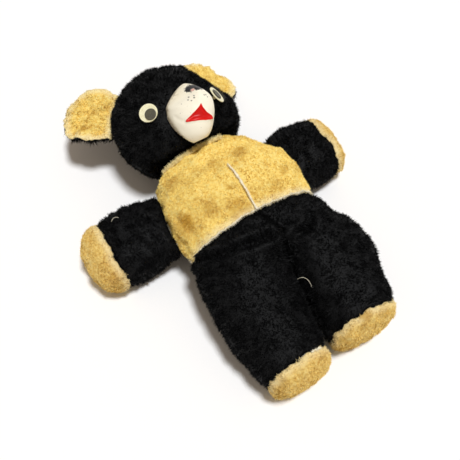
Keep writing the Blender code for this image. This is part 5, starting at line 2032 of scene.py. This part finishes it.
@dataclass(frozen=True)
class Trim:
    """Pale seam threads, cut cloth edges and stray lint."""

    torso: Torso
    trousers: Trousers

    def ribbon(
        self,
        name: str,
        path: Sequence[Vector],
        normals: Sequence[Vector],
        widths: Sequence[float],
        shop: Workshop,
        fuzz: Pile = SEAM_FUZZ,
        finish: Optional[bpy.types.Material] = None,
    ) -> None:
        """Lays a thin fuzzy strip along a path.

        Args:
            name: the piece's name.
            path: points along its middle.
            normals: directions out of the cloth there.
            widths: its width at each point.
            shop: materials and pile maker.
            fuzz: its loose fibres.
            finish: its material, where it isn't pale thread.
        """
        finish = finish or shop.thread
        bm = bmesh.new()
        lines = []
        for index, (point, normal, width) in enumerate(zip(path, normals, widths)):
            before = path[max(index - 1, 0)]
            after = path[min(index + 1, len(path) - 1)]
            across = (after - before).normalized().cross(normal).normalized()
            row = []
            for step in (-1.0, -0.4, 0.4, 1.0):
                crown = (1.0 - step * step) * 0.5 * MM
                row.append(bm.verts.new(point + across * step * 0.5 * width + normal * crown))
            lines.append(row)
        for first, second in zip(lines, lines[1:]):
            for column in range(3):
                bm.faces.new((first[column], second[column], second[column + 1], first[column + 1]))
        bm.normal_update()
        face = bm.faces[:][0]
        if face.normal.dot(normals[0]) < 0.0:
            bmesh.ops.reverse_faces(bm, faces=bm.faces)
        mesh = bpy.data.meshes.new(name)
        bm.to_mesh(mesh)
        count = len(bm.verts)
        bm.free()
        # tip 0.6 sets how much painted root shade and tip highlight a ribbon in plush takes.
        for key, value in (("tip", 0.6), ("seam", 0.0), ("pile", 1.0)):
            mesh.attributes.new(key, "FLOAT", "POINT").data.foreach_set("value", [value] * count)
        mesh.attributes.new("comb", "FLOAT_VECTOR", "POINT")
        mesh.shade_smooth()
        item = add_object(name, mesh)
        shop.seeds += 1
        nap = shop.piles.grow("fuzz_" + name, item, fuzz, finish, shop.seeds)
        modifier = item.modifiers.new("thickness", "SOLIDIFY")
        modifier.thickness = 0.5 * MM
        modifier.offset = -1.0
        solid = evaluated_mesh(item, name)
        item.modifiers.remove(modifier)
        solid.materials.clear()
        solid.materials.append(finish)
        item.data = solid
        declare(item)
        declare(nap)

    def build(self, shop: Workshop) -> None:
        """Makes the chest's seam thread and the pale edge at a foot."""
        path, normals, widths = [], [], []
        for step in range(40):
            part = step / 39.0
            y = (19.0 - 51.0 * part) * MM
            wander = 0.6 * MM * noise.noise(Vector((y / (9.0 * MM), 3.0, 1.0)))
            point = self.torso.point(y, math.pi / 2.0, 0.2 * MM)
            path.append(point + Vector((wander, 0.0, 0.0)))
            normals.append(Vector((0.0, 0.0, 1.0)))
            body = math.sin(math.pi * min(part * 1.6, 1.0)) * 0.9 + 1.0 * part
            widths.append((0.7 + 1.5 * abs(body) * (0.7 + 0.6 * noise.noise(Vector((part * 14.0, 0.0, 5.0))))) * MM)
        self.ribbon("chest_seam", path, normals, widths, shop)
        path, normals, widths = [], [], []
        seam = self.trousers.on(self.trousers.foot_seam_y, Side.RIGHT)
        for step in range(22):
            part = step / 21.0
            turn = 0.86 + 0.22 * part
            point = self.trousers.point(Side.RIGHT, seam, turn, 1.6 * MM)
            ragged = 1.3 * MM * noise.noise(Vector((part * 9.0, 2.0, 7.0)))
            path.append(point + Vector((0.0, -0.4 * MM + ragged, 0.0)))
            normals.append(Vector((0.0, 0.0, 1.0)))
            widths.append((0.8 + 1.4 * max(noise.noise(Vector((part * 7.0, 9.0, 7.0))) + 0.2, 0.0)) * MM)
        self.ribbon("foot_edge_right", path, normals, widths, shop)
        self.fringes(shop)

    def fringes(self, shop: Workshop) -> None:
        """Lays the pale cut edges of the chest's cloth: waist, right flank and neck."""
        wander = self.torso.waist_wander
        waist_y = self.torso.waist[0] + 0.9 * MM
        angles = spaced(math.radians(14.0), math.radians(172.0), 90)
        path = [self.torso.point(waist_y, angle, 1.6 * MM) for angle in angles]
        path = [place + wander.shift(place) for place in path]
        normals = [Vector((0.0, -0.75, 0.65)).normalized()] * len(path)
        widths = [(0.7 + 0.9 * abs(bumps(place, 9.0 * MM, 71.0))) * MM for place in path]
        self.ribbon("waist_edge", path, normals, widths, shop, FRINGE)
        flank = math.pi - self.torso.side_seam * math.pi / 2.0 - math.radians(9.0)
        path = [self.torso.point(y, flank, 1.4 * MM) for y in spaced(-29.0 * MM, 34.0 * MM, 40)]
        normals = [Vector((-0.95, 0.0, 0.3)).normalized()] * len(path)
        widths = [(1.0 + 1.2 * abs(bumps(place, 9.0 * MM, 72.0))) * MM for place in path]
        self.ribbon("flank_edge", path, normals, widths, shop, FRINGE)
        angles = spaced(math.radians(76.0), math.radians(146.0), 50)
        path = [self.torso.point(58.5 * MM, angle, 1.0 * MM) for angle in angles]
        normals = [Vector((-0.15, 0.80, 0.6)).normalized()] * len(path)
        widths = [(3.0 + 3.0 * abs(bumps(place, 9.0 * MM, 73.0))) * MM for place in path]
        self.ribbon("neck_edge", path, normals, widths, shop, NECK_FRINGE, shop.tan)

    def lint(self, name: str, points: Sequence[Triple], finish: bpy.types.Material) -> None:
        """Lays a stray curly fibre as a thin tube."""
        curve = bpy.data.curves.new(name, "CURVE")
        curve.dimensions = "3D"
        curve.bevel_depth = 0.16 * MM
        curve.bevel_resolution = 1
        curve.resolution_u = 8
        curve.use_fill_caps = True
        spline = curve.splines.new("NURBS")
        spline.points.add(len(points) - 1)
        for target, spot in zip(spline.points, points):
            target.co = (*spot, 1.0)
        spline.order_u = 4
        spline.use_endpoint_u = True
        holder = bpy.data.objects.new(name + "_line", curve)
        bpy.context.scene.collection.objects.link(holder)
        mesh = evaluated_mesh(holder, name)
        bpy.data.objects.remove(holder, do_unlink=True)
        mesh.materials.clear()
        mesh.materials.append(finish)
        declare(add_object(name, mesh))


@dataclass(frozen=True)
class Studio:
    """Pale floor, soft light and the camera."""

    eye: Triple
    back: Triple
    up: Triple
    focal: float = 46.89
    sky: float = 0.30
    key_strength: float = 2.6
    key_size: float = math.radians(12.0)
    key_from: Triple = (0.14, -0.12, 1.0)
    key_tint: Triple = (0.985, 1.0, 1.02)
    shade: Colour = (0.98, 0.82, 0.66, 1.0)
    white: Colour = (1.0, 1.0, 1.0, 1.0)

    @classmethod
    def from_angles(
        cls, elevation: float, azimuth: float, roll: float, distance: float, look: Triple
    ) -> "Studio":
        """Places the camera by angles.

        Args:
            elevation: angle above the floor.
            azimuth: angle round the bear.
            roll: turn of the picture.
            distance: from the point looked at.
            look: the point looked at.

        Returns:
            The studio.
        """
        back = Vector((
            math.sin(azimuth) * math.cos(elevation),
            -math.cos(azimuth) * math.cos(elevation),
            math.sin(elevation),
        ))
        right = Vector((math.cos(azimuth), math.sin(azimuth), 0.0))
        upward = back.cross(right)
        turned_up = upward * math.cos(roll) - right * math.sin(roll)
        place = Vector(look) + back * distance
        return cls(tuple(place), tuple(back), tuple(turned_up))

    def camera(self) -> None:
        """Adds the camera."""
        lens = bpy.data.cameras.new("camera")
        lens.lens = self.focal
        lens.sensor_width = 36.0
        lens.clip_start = 0.01
        item = bpy.data.objects.new("camera", lens)
        back = Vector(self.back)
        up = Vector(self.up)
        turned = Matrix((up.cross(back), up, back)).transposed().to_4x4()
        turned.translation = Vector(self.eye)
        item.matrix_world = turned
        bpy.context.scene.collection.objects.link(item)
        bpy.context.scene.camera = item

    def floor(self) -> None:
        """Adds the pale floor that keeps the bear's shadow."""
        bm = bmesh.new()
        bmesh.ops.create_grid(bm, x_segments=1, y_segments=1, size=6.0)
        mesh = bpy.data.meshes.new("studio_floor")
        bm.to_mesh(mesh)
        bm.free()
        recipe = Recipe("pale_floor")
        tone = recipe.noise(0.8, 1.0, 0.4)
        colour = recipe.mix(tone, (0.96, 0.965, 0.97, 1.0), (0.975, 0.98, 0.985, 1.0))
        recipe.constant(roughness=0.9, specular_ior_level=0.1)
        mesh.materials.append(recipe.finish(base_color=colour))
        add_object("studio_floor", mesh)

    def light(self) -> None:
        """Adds the even sky and the soft key light."""
        world = bpy.data.worlds.new("sky")
        world.use_nodes = True
        graph = Graph(world.node_tree)
        backdrop = world.node_tree.nodes["Background"]
        ray = world.node_tree.nodes.new("ShaderNodeLightPath")
        seen = Wire(graph, ray.outputs["Is Camera Ray"])
        seen = seen.most(Wire(graph, ray.outputs["Is Glossy Ray"]))
        seen = seen.most(Wire(graph, ray.outputs["Is Transmission Ray"]))
        warm = graph.node("ShaderNodeMix", {"data_type": "RGBA"}, {0: seen, 6: self.shade, 7: self.white}, 2)
        graph.feed(backdrop.inputs["Color"], warm)
        graph.feed(backdrop.inputs["Strength"], self.sky + seen * (1.0 - self.sky))
        bpy.context.scene.world = world
        lamp = bpy.data.lights.new("key", "SUN")
        lamp.energy = self.key_strength
        lamp.angle = self.key_size
        lamp.color = self.key_tint
        item = bpy.data.objects.new("key", lamp)
        item.rotation_euler = Vector(self.key_from).to_track_quat("Z", "Y").to_euler()
        bpy.context.scene.collection.objects.link(item)

    def build(self) -> None:
        """Sets the whole studio."""
        self.camera()
        self.floor()
        self.light()
        bpy.context.scene.view_settings.view_transform = "Standard"


def dress_inside() -> None:
    """Gives the CAD's washers, which stay hidden inside, their own finish."""
    finish = WASHER.paint()
    for name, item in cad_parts.items():
        if "washer" in name:
            item.data.materials.clear()
            item.data.materials.append(finish)


def main() -> None:
    """Builds the bear's looks in order."""
    logging.basicConfig(level=logging.INFO, format="%(name)s: %(message)s")
    noise.seed_set(NOISE_SEED)
    studio = Studio.from_angles(
        math.radians(61.2), math.radians(-32.0), math.radians(0.5), 614.0 * MM, (-8.5 * MM, 0.0, 0.0)
    )
    studio.build()
    shop = Workshop(
        BLACK_PLUSH.paint(), TAN_PLUSH.paint(), LIMB_TAN.paint(), THREAD.paint(), STUFFING.paint(), PileTree()
    )
    torso = Torso()
    trousers = Trousers(torso)
    head = Head(torso)
    muzzle = Muzzle(head)
    eyes = Eyes(head)
    torso.build(shop)
    trousers.build(shop)
    Arms(torso).build(shop)
    head.build(shop, muzzle, eyes)
    Ears(head).build(shop)
    muzzle.build(MOULDING.paint())
    eyes.build(EYE_WHITE.paint(), EYE_BLACK.paint(), CLEAR.paint())
    trim = Trim(torso, trousers)
    trim.build(shop)
    trim.lint(
        "lint_between_legs",
        (
            (-0.0010, -0.1000, 0.0590),
            (0.0010, -0.1010, 0.0630),
            (0.0040, -0.1035, 0.0640),
            (0.0060, -0.1080, 0.0620),
            (0.0058, -0.1120, 0.0580),
        ),
        shop.thread,
    )
    trim.lint(
        "lint_on_arm",
        (
            (-0.1130, 0.0420, 0.0500),
            (-0.1110, 0.0440, 0.0520),
            (-0.1080, 0.0445, 0.0520),
            (-0.1055, 0.0425, 0.0500),
        ),
        shop.thread,
    )
    dress_inside()


if __name__ == "__main__":
    main()
